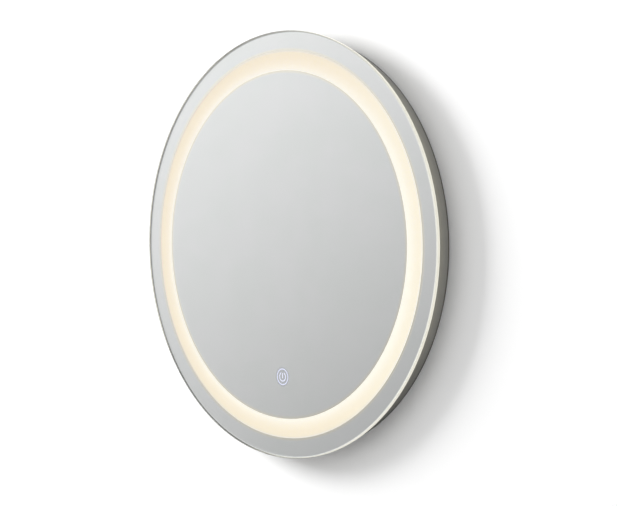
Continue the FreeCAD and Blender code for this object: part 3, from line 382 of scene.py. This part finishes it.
paint = use(tree, unevenness, Vector=spot, Size=14 * MM, Colour=colour(132, 137, 136),
            Shade=colour(120, 126, 126), Roughness=0.62, Spread=0.1)
link_finish(tree, shader, blend(tree, paint_side, silver_colour, paint["Colour"]),
            maths(tree, "MULTIPLY", paint["Roughness"], paint_side))
tree.links.new(maths(tree, "SUBTRACT", 1.0, paint_side), shader.inputs["Metallic"])
finishes["silver"] = material
print("silvering: mirror to the front, paint to the back")

# %% [markdown]
# ## The glass
# The disc is clear float glass: fully transmitting, with the refraction of glass. The light of the
# band also travels inside the disc and leaves it at the polished edge, which is why the edge glows
# cream, most of all at its back. That glow is painted light: emission on the faces that look
# outwards, past the arris. The arris itself is ground and not polished, and its colour is painted
# light and shade: cream where it is seen squarely, darkening the flatter the angle at which it is
# seen. At the lower left the photograph shows it dark for its whole width, and a little beyond, and
# there the arris is painted with shade.

# %% Clear glass with a glowing edge
# painted light: the edge glows by emission, most of all at its back
EDGE_START = glass_radius - 0.8 * MM
ARRIS_START = glass_radius - 2.0 * MM
SOFT_STEP = 0.1 * MM  # the edge and the arris fade in over this
ARRIS_FACING = -0.35  # the arris turns to the room further than this, and the edge less far
GLOW_STRENGTH = 1.2
EDGE_GLOW = colour(215, 212, 196)
EDGE_SHADE = colour(203, 200, 187)
REAR_GLOW = colour(255, 253, 240)
REAR_ZONE = 2.0 * MM
# painted light and shade on the arris: a faint glow, cream seen squarely, dark seen flat
ARRIS_GLOW = 0.10
ARRIS_LIT_SQUARE = (0.89, 0.86, 0.72, 1)
ARRIS_OBLIQUE = (0.74, 0.75, 0.71, 1)
ARRIS_SHADED_FLAT = (0.16, 0.165, 0.16, 1)
TO_OBLIQUE = (0.12, 0.45)  # slants of the view between which square gives way to oblique
TO_FLAT = (0.5, 0.72)
# painted shade on the arris at the lower left, reaching a little beyond it
SHADED_TURN = math.radians(-125)
SHADED_SPAN = (0.82, 0.97)  # cosines of the angle from that turn, where the shade starts and is full
SHADED_REACH = 0.3 * MM
material, tree, shader = new_finish("glass")
shader.inputs["Transmission Weight"].default_value = 1.0
shader.inputs["IOR"].default_value = 1.52
shader.inputs["Emission Strength"].default_value = GLOW_STRENGTH
spot = place_of(tree)
where = use(tree, round_place, Vector=spot, Height=glass_z)
tint = use(tree, unevenness, Vector=spot, Size=50 * MM, Colour=(0.998, 1.0, 0.998, 1),
           Shade=(0.995, 0.999, 0.996, 1), Roughness=0.0, Spread=0.0)
facing = facing_of(tree)
lower_left = maths(tree, "COSINE", maths(tree, "SUBTRACT", where["Turn"], SHADED_TURN))
shaded = between(tree, lower_left, *SHADED_SPAN)
reach = maths(tree, "ADD", where["Radius"], maths(tree, "MULTIPLY", shaded, SHADED_REACH))
arris = maths(tree, "MULTIPLY", between(tree, reach, ARRIS_START, ARRIS_START + SOFT_STEP),
              maths(tree, "LESS_THAN", facing, ARRIS_FACING))
slant = add(tree, "ShaderNodeLayerWeight", {"Blend": 0.5}).outputs["Facing"]
arris_light_and_shade = blend(tree, between(tree, slant, *TO_OBLIQUE), ARRIS_LIT_SQUARE, ARRIS_OBLIQUE)
flat = maths(tree, "MAXIMUM", between(tree, slant, *TO_FLAT), shaded)
arris_light_and_shade = blend(tree, flat, arris_light_and_shade, ARRIS_SHADED_FLAT)
edge = maths(tree, "MULTIPLY", between(tree, where["Radius"], EDGE_START, EDGE_START + SOFT_STEP),
             maths(tree, "GREATER_THAN", facing, ARRIS_FACING))
polish = use(tree, grain, Vector=spot, Stretch=(300.0, 3000.0, 300.0), Colour=EDGE_GLOW,
             Shade=EDGE_SHADE, Roughness=0.06, Spread=0.05)
link_finish(tree, shader, blend(tree, arris, tint["Colour"], arris_light_and_shade),
            maths(tree, "MULTIPLY", polish["Roughness"], edge))
rear = between(tree, where["Depth"], -glass_high.y, -glass_high.y + REAR_ZONE, 1.0, 0.0)
edge_light = blend(tree, rear, polish["Colour"], REAR_GLOW)
outside = maths(tree, "SUBTRACT", 1.0,
                add(tree, "ShaderNodeNewGeometry").outputs["Backfacing"])
soft_glow = maths(tree, "ADD", edge, maths(tree, "MULTIPLY", arris, ARRIS_GLOW))
tree.links.new(blend(tree, maths(tree, "MULTIPLY", soft_glow, outside), (0, 0, 0, 1),
                     edge_light), shader.inputs["Emission Color"])
finishes["glass"] = material
print(f"the edge glows from radius {EDGE_START:.4f} m")

# %% [markdown]
# ## The light band
# Behind the clear band stand a frosted layer on the glass and an opal ring. The light-emitting
# diodes sit nearer the inner side, so the band is brightest along its inner rim and warmer towards
# the outer one. The etched borders catch a little more light, which draws a fine line along the
# inner one. The outer one falls into the shade of the silvering: most on the left, less at the top
# and the bottom, and not at all on the right. The band's colours are a painted shade darker and
# warmer on the left than on the right. The glow weakens a little, and turns warmer, towards the
# upper left.

# %% Lit opal
BAND_STRENGTH = 0.98
# painted shade: the band darker and warmer on the left than on the right
BAND_LEFT = (colour(251, 247, 233), colour(247, 237, 216), colour(242, 229, 204))
BAND_RIGHT = (colour(252, 250, 237), colour(250, 245, 228), colour(246, 237, 216))
TO_RIGHT = (0.3 * band_inner, band_inner)  # X between which left gives way to right
TO_MIDDLE = (band_inner, band_inner + 11 * MM)  # radii between which inner gives way to middle
TO_OUTER = (band_inner + 7 * MM, band_outer - 7 * MM)
INNER_LINE = (band_inner + 0.5 * MM, band_inner + 1.3 * MM)
INNER_LINE_SHARE = 0.6
INNER_LINE_GLOW = colour(253, 251, 240)
OUTER_LINE = (band_outer - 3.2 * MM, band_outer - 0.6 * MM)
OUTER_LINE_LEFT = colour(214, 211, 198)
OUTER_LINE_UPRIGHT = colour(228, 226, 214)
OUTER_LINE_RIGHT = colour(250, 246, 232)
TO_UPRIGHT = (0.75, 1.0)  # sines of the turn between which left gives way to top and bottom
# the glow weakens a little, and turns warmer, towards the upper left
WEAKEST_TURN = math.radians(120)
UPPER_LEFT_DIMMING = 0.055
DIMMED_COLOUR = (0.25, 0.05, 0.0, 1)
HAZE_BUMP = 0.02 * MM
material, tree, shader = new_finish("opal")
shader.inputs["Emission Strength"].default_value = BAND_STRENGTH
spot = place_of(tree)
where = use(tree, round_place, Vector=spot, Height=glass_z)
sideways = between(tree, add(tree, "ShaderNodeSeparateXYZ", {0: spot}).outputs["X"], *TO_RIGHT)
inner, middle, outer = (blend(tree, sideways, *pair) for pair in zip(BAND_LEFT, BAND_RIGHT))
glow = blend(tree, between(tree, where["Radius"], *TO_MIDDLE), inner, middle)
glow = blend(tree, between(tree, where["Radius"], *TO_OUTER), glow, outer)
line = between(tree, where["Radius"], *INNER_LINE, INNER_LINE_SHARE, 0.0)
glow = blend(tree, line, glow, INNER_LINE_GLOW)
upright = maths(tree, "ABSOLUTE", maths(tree, "SINE", where["Turn"]))
left_line = blend(tree, between(tree, upright, *TO_UPRIGHT), OUTER_LINE_LEFT, OUTER_LINE_UPRIGHT)
outer_glow = blend(tree, sideways, left_line, OUTER_LINE_RIGHT)
glow = blend(tree, between(tree, where["Radius"], *OUTER_LINE), glow, outer_glow)
weaker = maths(tree, "COSINE", maths(tree, "SUBTRACT", where["Turn"], WEAKEST_TURN))
dimming = maths(tree, "ADD", maths(tree, "MULTIPLY", weaker, UPPER_LEFT_DIMMING), UPPER_LEFT_DIMMING)
tree.links.new(blend(tree, dimming, glow, DIMMED_COLOUR), shader.inputs["Emission Color"])
haze = use(tree, unevenness, Vector=spot, Size=4 * MM, Colour=colour(158, 156, 148),
           Shade=colour(150, 148, 140), Roughness=0.6, Spread=0.1)
link_finish(tree, shader, haze["Colour"], haze["Roughness"], haze["Height"], HAZE_BUMP)
finishes["opal"] = material
print("the band glows brightest at its inner rim")

# %% [markdown]
# ## The symbol's light guide
# A small acrylic disc behind the silvering spreads a cool white light, so that the symbol's clear
# strokes shine pale lavender. The glow fades a little from the middle outwards.

# %% Lit acrylic
ICON_STRENGTH = 1.2
ICON_FADE = 13 * MM
material, tree, shader = new_finish("icon_acrylic")
shader.inputs["Emission Strength"].default_value = ICON_STRENGTH
spot = place_of(tree)
from_icon = use(tree, round_place, Vector=spot, Height=icon_z)["Radius"]
glow = blend(tree, between(tree, from_icon, 0.0, ICON_FADE), colour(232, 234, 252),
             colour(214, 218, 244))
tree.links.new(glow, shader.inputs["Emission Color"])
body = use(tree, unevenness, Vector=spot, Size=5 * MM, Colour=colour(120, 122, 135),
           Shade=colour(112, 114, 128), Roughness=0.3, Spread=0.1)
link_finish(tree, shader, body["Colour"], body["Roughness"])
finishes["icon_acrylic"] = material
print("symbol centre at z", round(icon_z, 4))

# %% [markdown]
# ## The casing
# The casing is rolled aluminium, anodised a warm grey. Its grain runs round the ring, so the noise
# is stretched along the angle and not along X: the angle, times the radius, is one coordinate and
# the depth is the other. The grey is painted lighter and warmer towards the front, a painted light
# from the glass's glowing edge, and darker towards the wall, a painted shade. The turned-in rear
# edge is painted darker still, a painted shade where the casing meets the wall.

# %% Anodised ring
casing_depth = -frame_low.y
# painted light and shade: lighter and warmer towards the glass, darker towards the wall
LIT_FRONT_DEPTHS = (0.1 * casing_depth, casing_depth)
# painted shade along the rear edge, where the casing meets the wall
REAR_SHADE_DEPTH = -frame_high.y + 1.4 * MM
REAR_SHADE_FADE = 1.2 * MM
REAR_SHADE_SHARE = 0.8
HANDLED_SHARE = 0.25  # how much the handled colour shows at most
material, tree, shader = new_finish("frame_metal")
shader.inputs["Metallic"].default_value = 0.7
spot = place_of(tree)
where = use(tree, round_place, Vector=spot, Height=glass_z)
rolled = add(tree, "ShaderNodeCombineXYZ",
             {"X": maths(tree, "MULTIPLY", where["Turn"], frame_radius), "Y": where["Depth"],
              "Z": where["Radius"]}).outputs[0]
shade_to_light = between(tree, where["Depth"], *LIT_FRONT_DEPTHS)
made = use(tree, grain, Vector=rolled, Stretch=(25.0, 2600.0, 2600.0),
           Colour=blend(tree, shade_to_light, colour(178, 177, 172), colour(204, 200, 184)),
           Shade=blend(tree, shade_to_light, colour(164, 163, 158), colour(188, 184, 170)),
           Roughness=0.42, Spread=0.12)
handled = use(tree, unevenness, Vector=spot, Size=80 * MM)["Height"]
worn = blend(tree, maths(tree, "MULTIPLY", handled, HANDLED_SHARE), made["Colour"],
             colour(184, 181, 170))
rear_shade = between(tree, where["Depth"], REAR_SHADE_DEPTH, REAR_SHADE_DEPTH + REAR_SHADE_FADE, REAR_SHADE_SHARE, 0.0)
link_finish(tree, shader, blend(tree, rear_shade, worn, colour(92, 92, 88)), made["Roughness"],
            made["Height"], METAL_BUMP)
finishes["frame_metal"] = material
print("casing radius", round(frame_radius, 4))

# %% [markdown]
# ## Galvanised sheet
# Zinc freezes on steel in flakes, the spangle. Voronoi cells give each flake its own brightness,
# and a finer noise dulls the whole.

# %% Spangled back panel
FLAKES_PER_METRE = 90.0
FLAKE_ROUGHNESS = 0.2  # how much rougher the lightest flakes are
material, tree, shader = new_finish("panel_steel")
shader.inputs["Metallic"].default_value = 0.85
spot = place_of(tree)
flakes = add(tree, "ShaderNodeTexVoronoi",
             {"Vector": spot, "Scale": FLAKES_PER_METRE}).outputs["Color"]
lightness = add(tree, "ShaderNodeSeparateColor", {0: flakes}).outputs["Red"]
dull = use(tree, unevenness, Vector=spot, Size=30 * MM, Colour=colour(184, 187, 189),
           Shade=colour(176, 180, 183), Roughness=0.34, Spread=0.1)
rougher = maths(tree, "MULTIPLY", lightness, FLAKE_ROUGHNESS)
link_finish(tree, shader, blend(tree, lightness, dull["Colour"], colour(212, 214, 216)),
            maths(tree, "ADD", dull["Roughness"], rougher), lightness, METAL_BUMP)
finishes["panel_steel"] = material
print("panel: zinc flakes about", round(1 / MM / FLAKES_PER_METRE), "mm across")

# %% [markdown]
# ## Circuit boards, diodes and the earth lead
# A board's lacquer shows its copper tracks as slightly lighter lines. A brick pattern on the
# object's coordinates gives straight tracks with gaps. A diode is a yellow window in a white body,
# and the earth lead carries a yellow stripe that winds round it.


# %% Boards
def board(name, lacquer, tracks, scale):
    """Lacquered board with copper tracks under the lacquer."""
    material, tree, shader = new_finish(name)
    spot = place_of(tree)
    laid = add(tree, "ShaderNodeMapping", {"Vector": spot, "Rotation": (math.pi / 2, 0, 0)})
    lines = add(tree, "ShaderNodeTexBrick",
                {"Vector": laid.outputs[0], "Scale": scale, "Color1": (0, 0, 0, 1),
                 "Color2": (0.4, 0.4, 0.4, 1), "Mortar": (1, 1, 1, 1), "Mortar Size": 0.03})
    made = use(tree, unevenness, Vector=spot, Size=6 * MM, Colour=lacquer, Shade=lacquer,
               Roughness=0.3, Spread=0.1)
    link_finish(tree, shader, blend(tree, lines.outputs["Color"], made["Colour"], tracks),
                made["Roughness"])
    return material


finishes["board_green"] = board("board_green", colour(28, 92, 52), colour(52, 124, 76), 160.0)
finishes["strip_white"] = board("strip_white", colour(240, 240, 236), colour(224, 222, 210), 120.0)
print("board finishes: 2")

# %% Diode windows
material, tree, shader = new_finish("chip_yellow")
shader.inputs["Emission Strength"].default_value = 0.5
made = use(tree, unevenness, Vector=place_of(tree), Size=2 * MM, Colour=colour(246, 216, 120),
           Shade=colour(238, 202, 98), Roughness=0.25, Spread=0.1)
link_finish(tree, shader, made["Colour"], made["Roughness"])
tree.links.new(blend(tree, made["Height"], colour(255, 236, 190), colour(255, 246, 214)),
               shader.inputs["Emission Color"])
finishes["chip_yellow"] = material
print("finishes so far:", len(finishes))

# %% Green and yellow earth lead
STRIPE_WAVE = 900.0  # radians of the stripe's wave in each metre
STRIPE_BORDER = 0.1
material, tree, shader = new_finish("lead_earth")
spot = place_of(tree)
axes = add(tree, "ShaderNodeSeparateXYZ", {0: spot}).outputs
along = maths(tree, "ADD", axes["Z"], axes["Y"])
wound = maths(tree, "SINE", maths(tree, "MULTIPLY", along, STRIPE_WAVE))
stripe = between(tree, wound, -STRIPE_BORDER, STRIPE_BORDER)
sheath = use(tree, unevenness, Vector=spot, Size=4 * MM, Colour=colour(70, 150, 58),
             Shade=colour(58, 134, 48), Roughness=0.42, Spread=0.1)
link_finish(tree, shader, blend(tree, stripe, sheath["Colour"], colour(232, 206, 60)),
            sheath["Roughness"])
finishes["lead_earth"] = material
print("earth lead: green with a yellow stripe")

# %% [markdown]
# ## Dress the CAD pieces
# The record says which material slot each piece has. Each CAD object keeps its mesh and gets the
# finish of its slot.

# %% Put the finishes on
for part in frame["record"]["subparts"]:
    dressed = nodes[part["node"]]
    if not dressed.material_slots:
        dressed.data.materials.append(None)
    for slot in dressed.material_slots:
        slot.material = finishes[part["material_slot"]]

# %% [markdown]
# ## Surfaces from a profile
# Round pieces are surfaces of revolution: a profile of (radius, depth) points is turned about the
# mirror's axis. With numpy the whole grid comes from one product of two arrays, the profile's radii
# times the sines and cosines of the angle.


# %% Turned meshes
def turned_points(radii, depths, z, around):
    """Rings of points: r cos a, y = -depth, z + r sin a, for each profile point r, depth."""
    angle = np.linspace(0, 2 * math.pi, around, endpoint=False)
    radii = np.asarray(radii)[:, None]
    depths = np.repeat(np.asarray(depths)[:, None], around, axis=1)
    return np.stack([radii * np.cos(angle), -depths, z + radii * np.sin(angle)], axis=2)


def ring_faces(rings, around, closed):
    """Quads between neighbouring rings, and from the last ring to the first when closed."""
    row = np.arange(rings if closed else rings - 1)[:, None]
    column = np.arange(around)[None, :]
    ahead = (row + 1) % rings
    beside = (column + 1) % around
    return np.stack([row * around + column, ahead * around + column,
                     ahead * around + beside, row * around + beside], axis=2).reshape(-1, 4)


def make_piece(name, points, faces, finish, body="mirror"):
    """A mesh object from points and faces, with its finish, on a body of the CAD model."""
    mesh = bpy.data.meshes.new(name)
    mesh.from_pydata(points.reshape(-1, 3).tolist(), [], faces)
    mesh.materials.append(finishes[finish])
    mesh.shade_smooth()
    piece = bpy.data.objects.new(name, mesh)
    bpy.context.scene.collection.objects.link(piece)
    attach(piece, body)
    return piece


# %% [markdown]
# ## The frosted layer
# On the real glass the band is etched into the back, level with the silvering. It is a thin closed
# ring that fills the clear window, a hair smaller so that it doesn't touch the silver.

# %% Frost in the clear band
FROST_PLAY = 0.05 * MM
FROST_AROUND = 360
frost_inner, frost_outer = band_inner + FROST_PLAY, band_outer - FROST_PLAY
frost_back, frost_front = -coat_high.y, -coat_low.y
frost_rings = turned_points([frost_inner, frost_outer, frost_outer, frost_inner],
                            [frost_front, frost_front, frost_back, frost_back],
                            glass_z, FROST_AROUND)
frost_faces = ring_faces(len(frost_rings), FROST_AROUND, closed=True)
frost = make_piece("frosted_band", frost_rings, frost_faces.tolist(), "opal")
frost.data.shade_flat()
print("frosted band:", len(frost.data.polygons), "faces")

# %% [markdown]
# ## Screw heads and rivets
# From behind, the mirror shows its fasteners. A pan head is a dome with a cross-shaped recess. One
# formula gives its whole surface: the dome falls with the fourth power of the distance from its
# middle, and the recess is taken away where a point lies close to one of the two arms and not too
# far from the middle. A blind rivet is a lower dome, which falls with the square of the distance,
# with a round dimple where its pin broke off.


# %% The shapes of the heads
def smooth_step(value, low, high):
    """0 below low, 1 above high, and 3t^2 - 2t^3 of the way between."""
    t = np.clip((value - low) / (high - low), 0, 1)
    return t * t * (3 - 2 * t)


def polar_grid(around, rings):
    """Points r cos a, r sin a on rings out to r = 1: their r, x and z."""
    reach = np.linspace(FIRST_RING, 1, rings)[:, None]
    angle = np.linspace(0, 2 * math.pi, around, endpoint=False)[None, :]
    return reach, reach * np.cos(angle), reach * np.sin(angle)


def pan_head(radius, height, around=48, rings=22):
    """Dome height h (1 - 0.45 r^4), less a cross recess: offsets (x, z) and the heights there."""
    reach, x, z = polar_grid(around, rings)
    dome = 1 - PAN_FALL * reach ** 4
    arm = 1 - smooth_step(np.minimum(np.abs(x), np.abs(z)), *ARM_SIDE)
    cross = arm * (1 - smooth_step(reach, *ARM_END))
    return x * radius, z * radius, (dome - cross * RECESS_DEPTH) * height


def rivet_head(radius, height, around=32, rings=12):
    """Dome height h (1 - 0.5 r^2), less a round dimple: offsets (x, z) and the heights there."""
    reach, x, z = polar_grid(around, rings)
    dome = 1 - RIVET_FALL * reach ** 2
    dimple = 1 - smooth_step(reach, *DIMPLE_SIDE)
    levels = (dome - dimple * DIMPLE_DEPTH) * height
    return x * radius, z * radius, np.broadcast_to(levels, x.shape)


# Distances are counted in the head's radius, and depths in its height.
FIRST_RING = 0.04
PAN_FALL = 0.45
ARM_SIDE = (0.10, 0.17)
ARM_END = (0.50, 0.62)
RECESS_DEPTH = 0.55
RIVET_FALL = 0.5
DIMPLE_SIDE = (0.16, 0.26)
DIMPLE_DEPTH = 0.5
print("the recess takes", RECESS_DEPTH, "of a screw head's height")


# %% Closing the heads and finding their places
def stand_off(shape, seat, shank_radius, shank_tip):
    """Close a head into a solid: its side wall down to the seat, then the shank to its tip."""
    x, z, height = shape
    rim_x, rim_z = x[-1:], z[-1:]
    shank = shank_radius / np.hypot(rim_x, rim_z)
    x = np.vstack([x, rim_x, rim_x * shank, rim_x * shank])
    z = np.vstack([z, rim_z, rim_z * shank, rim_z * shank])
    below = [np.full_like(rim_x, level) for level in (seat, seat, shank_tip)]
    return np.stack([x, -np.vstack([seat - height, *below]), z], axis=2)


def fasteners(name, shape, spots, node):
    """Make the same closed shape at each spot, as one piece that stands for the CAD node."""
    rings, around = shape.shape[:2]
    column = np.arange(around)
    following = (column + 1) % around
    pole = np.full(around, rings * around)
    last = (rings - 1) * around
    one = np.vstack([shape.reshape(-1, 3), shape[0].mean(axis=0), shape[-1].mean(axis=0)])
    quads = ring_faces(rings, around, closed=False)[:, ::-1]
    first_fan = np.stack([pole, following, column], axis=1)
    last_fan = np.stack([pole + 1, last + column, last + following], axis=1)
    points = one[None] + np.array([(x, 0.0, z) for x, z in spots])[:, None]
    faces = []
    for copy in range(len(spots)):
        for group in (quads, first_fan, last_fan):
            faces += (group + copy * len(one)).tolist()
    piece = make_piece(name, points, faces, "screw_steel")
    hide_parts(node)


def spots_of(node):
    """The middles, in X and Z, of the separate solids of a CAD node."""
    mesh = nodes[node].data
    points = np.empty(len(mesh.vertices) * 3)
    mesh.vertices.foreach_get("co", points)
    points = np.unique(points.reshape(-1, 3)[:, (0, 2)].round(6), axis=0)
    found = []
    while len(points):
        near = np.hypot(*(points - points[0]).T) < SOLIDS_APART
        found.append(points[near].mean(axis=0))
        points = points[~near]
    return found


# %% Put the screws and rivets in
SOLIDS_APART = 12 * MM  # corners of a CAD node that are closer than this are on one solid
SCREW_HEAD = (3.7 * MM, 2.2 * MM)  # radius and height
RIVET_HEAD = (4.0 * MM, 1.3 * MM)
SHANK = 1.9 * MM
for name, node, head, size in (
        ("panel_screw_heads", "panel_screws", pan_head, SCREW_HEAD),
        ("channel_rivet_heads", "channel_rivets", rivet_head, RIVET_HEAD),
        ("hanger_rivet_heads", "hanger_rivets", rivet_head, RIVET_HEAD)):
    low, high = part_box(node)
    solid = stand_off(head(*size), -high.y + size[1], SHANK, -low.y)
    spots = spots_of(node)
    fasteners(name, solid, spots, node)
    print(name, "at", len(spots), "places")

# %% [markdown]
# ## The stage
# The mirror hangs on a plain white wall, above a floor. The wall keeps the soft shadow and is pure
# white elsewhere: camera rays see its colour as white, and bounced light sees a paint that is less
# white, so that it doesn't flood the mirror with light. Reflections see it darker below the mirror:
# a painted shade, seen only in reflections, which gives the casing's lower right its dark tone.
# Seen from behind, the wall lets everything through, so that the back of the mirror can be looked
# at, and so does the part of it that the mirror covers, for reflections.


# %% Wall and floor
def stage_plane(name, corners, bounce, one_sided):
    """A plane that keeps shadows, white for the camera, and that bounces a part of its light."""
    material = bpy.data.materials.new(name)
    material.use_nodes = True
    tree = material.node_tree
    tree.nodes.clear()
    spot = place_of(tree)
    where = use(tree, round_place, Vector=spot, Height=glass_z)
    mottled = add(tree, "ShaderNodeTexNoise", {"Vector": spot, "Scale": MOTTLE_SCALE}).outputs["Fac"]
    paint = blend(tree, mottled, (bounce, bounce, bounce, 1), (*[bounce + MOTTLE] * 3, 1))
    rays = add(tree, "ShaderNodeLightPath").outputs
    # painted shade for reflections only: the wall darker below the mirror
    lowest = maths(tree, "COSINE", maths(tree, "SUBTRACT", where["Turn"], DARKEST_TURN))
    reflected_shade = maths(tree, "MULTIPLY", between(tree, lowest, *DARK_SPAN), rays["Is Glossy Ray"])
    paint = blend(tree, reflected_shade, paint, PAINTED_SHADE_FOR_REFLECTIONS)
    to_camera = rays["Is Camera Ray"]
    shown = add(tree, "ShaderNodeBsdfDiffuse",
                {"Color": blend(tree, to_camera, paint, (1, 1, 1, 1))}).outputs[0]
    if one_sided:
        behind = add(tree, "ShaderNodeNewGeometry").outputs["Backfacing"]
        covered = maths(tree, "MULTIPLY",
                        maths(tree, "LESS_THAN", where["Radius"], frame_radius),
                        rays["Is Glossy Ray"])
        clear = add(tree, "ShaderNodeBsdfTransparent").outputs[0]
        through = maths(tree, "MAXIMUM", behind, covered)
        shown = add(tree, "ShaderNodeMixShader", {0: through, 1: shown, 2: clear}).outputs[0]
    add(tree, "ShaderNodeOutputMaterial", {"Surface": shown})
    mesh = bpy.data.meshes.new(name)
    mesh.from_pydata(corners, [], [(0, 1, 2, 3)])
    mesh.materials.append(material)
    plane = bpy.data.objects.new(name, mesh)
    bpy.context.scene.collection.objects.link(plane)
    plane.visible_glossy = one_sided
    plane.visible_transmission = False
    return plane


MOTTLE_SCALE = 30.0
MOTTLE = 0.02
DARKEST_TURN = math.radians(-75)
DARK_SPAN = (0.6, 1.0)  # cosines of the angle from that turn, where the dark starts and is full
PAINTED_SHADE_FOR_REFLECTIONS = (0.4, 0.4, 0.4, 1)
WALL_BOUNCE = 0.80
FLOOR_BOUNCE = 0.30
WALL_REACH = 4.0
FLOOR_Z = -1.9
WALL_GAP = 0.2 * MM
wall = stage_plane(
    "wall",
    [(-WALL_REACH, WALL_GAP, FLOOR_Z), (WALL_REACH, WALL_GAP, FLOOR_Z),
     (WALL_REACH, WALL_GAP, WALL_REACH), (-WALL_REACH, WALL_GAP, WALL_REACH)],
    WALL_BOUNCE, one_sided=True)
floor = stage_plane(
    "floor",
    [(-WALL_REACH, -WALL_REACH, FLOOR_Z), (WALL_REACH, -WALL_REACH, FLOOR_Z),
     (WALL_REACH, WALL_REACH, FLOOR_Z), (-WALL_REACH, WALL_REACH, FLOOR_Z)],
    FLOOR_BOUNCE, one_sided=False)
print("stage:", wall.name, floor.name)

# %% [markdown]
# ## Light
# One large lamp stands to the left, above the mirror and in front of the wall. The rest is nearly
# even light from the world, a little stronger from the upper left. What a mirror shows is the room,
# so rays that come off glass or metal see a grey gradient in the world instead of white: lighter
# upwards and to the left, as in the picture.

# %% The lamp
LAMP_FROM_GLASS = Vector((-3.85, -1.8, 1.6))
LAMP_SIZE = 1.9
LAMP_POWER = 250.0
lamp = bpy.data.objects.new("lamp", bpy.data.lights.new("lamp", "AREA"))
lamp.data.size = LAMP_SIZE
lamp.data.energy = LAMP_POWER
lamp.location = glass_middle + LAMP_FROM_GLASS
lamp.rotation_euler = (-LAMP_FROM_GLASS).to_track_quat("-Z", "Y").to_euler()
lamp.visible_glossy = False
lamp.visible_transmission = False
bpy.context.scene.collection.objects.link(lamp)
print("lamp at", [round(value, 2) for value in lamp.location])

# %% The world
ROOM_MIDDLE = 0.68
ROOM_DARKEST = 0.3
ROOM_BRIGHTEST = 0.97
ROOM_WHITE = (1.0, 0.997, 0.992, 1)
ROOM_TOWARDS = Vector((-0.73, -0.68, 0.0))  # what the glass shows the camera lies this way
ROOM_SLOPE = Vector((-0.88, 0.60, 1.3))
AWAY_MIDDLE = 0.5
AWAY_SLOPE = 0.45
EVEN_LIGHT = 0.74
EVEN_SLOPE = Vector((-0.28, 0.0, 0.34))
world = bpy.data.worlds.new("room")
bpy.context.scene.world = world
world.use_nodes = True
tree = world.node_tree
tree.nodes.clear()
direction = add(tree, "ShaderNodeTexCoord").outputs["Generated"]
offset = add(tree, "ShaderNodeVectorMath", {0: direction, 1: ROOM_TOWARDS}, operation="SUBTRACT")
slope = add(tree, "ShaderNodeVectorMath", {0: offset.outputs[0], 1: ROOM_SLOPE},
            operation="DOT_PRODUCT").outputs["Value"]
upwards = add(tree, "ShaderNodeSeparateXYZ", {0: direction}).outputs["Z"]
away = maths(tree, "ADD", maths(tree, "MULTIPLY", upwards, AWAY_SLOPE), AWAY_MIDDLE)
away = maths(tree, "MAXIMUM", away, ROOM_DARKEST)
room = maths(tree, "MAXIMUM", maths(tree, "ADD", slope, ROOM_MIDDLE), away)
room_colour = blend(tree, maths(tree, "MINIMUM", room, ROOM_BRIGHTEST), (0.0, 0.0, 0.0, 1),
                    ROOM_WHITE)
rays = add(tree, "ShaderNodeLightPath").outputs
to_camera = rays["Is Camera Ray"]
mirrored = maths(tree, "MAXIMUM", rays["Is Glossy Ray"], rays["Is Transmission Ray"])
leaning = add(tree, "ShaderNodeVectorMath", {0: direction, 1: EVEN_LIGHT * EVEN_SLOPE},
              operation="DOT_PRODUCT").outputs["Value"]
even = maths(tree, "ADD", leaning, EVEN_LIGHT)
lighting = maths(tree, "MULTIPLY", maths(tree, "SUBTRACT", 1.0, to_camera), even)
plain = add(tree, "ShaderNodeBackground",
            {"Color": (1, 1, 1, 1), "Strength": maths(tree, "ADD", to_camera, lighting)})
reflected = add(tree, "ShaderNodeBackground", {"Color": room_colour, "Strength": 1.0})
choice = add(tree, "ShaderNodeMixShader",
             {0: mirrored, 1: plain.outputs[0], 2: reflected.outputs[0]})
add(tree, "ShaderNodeOutputWorld", {"Surface": choice.outputs[0]})
print("even light", EVEN_LIGHT)

# %% [markdown]
# ## The look
# The Standard view shows colours as they are written.

# %% Finish
bpy.context.scene.view_settings.view_transform = "Standard"
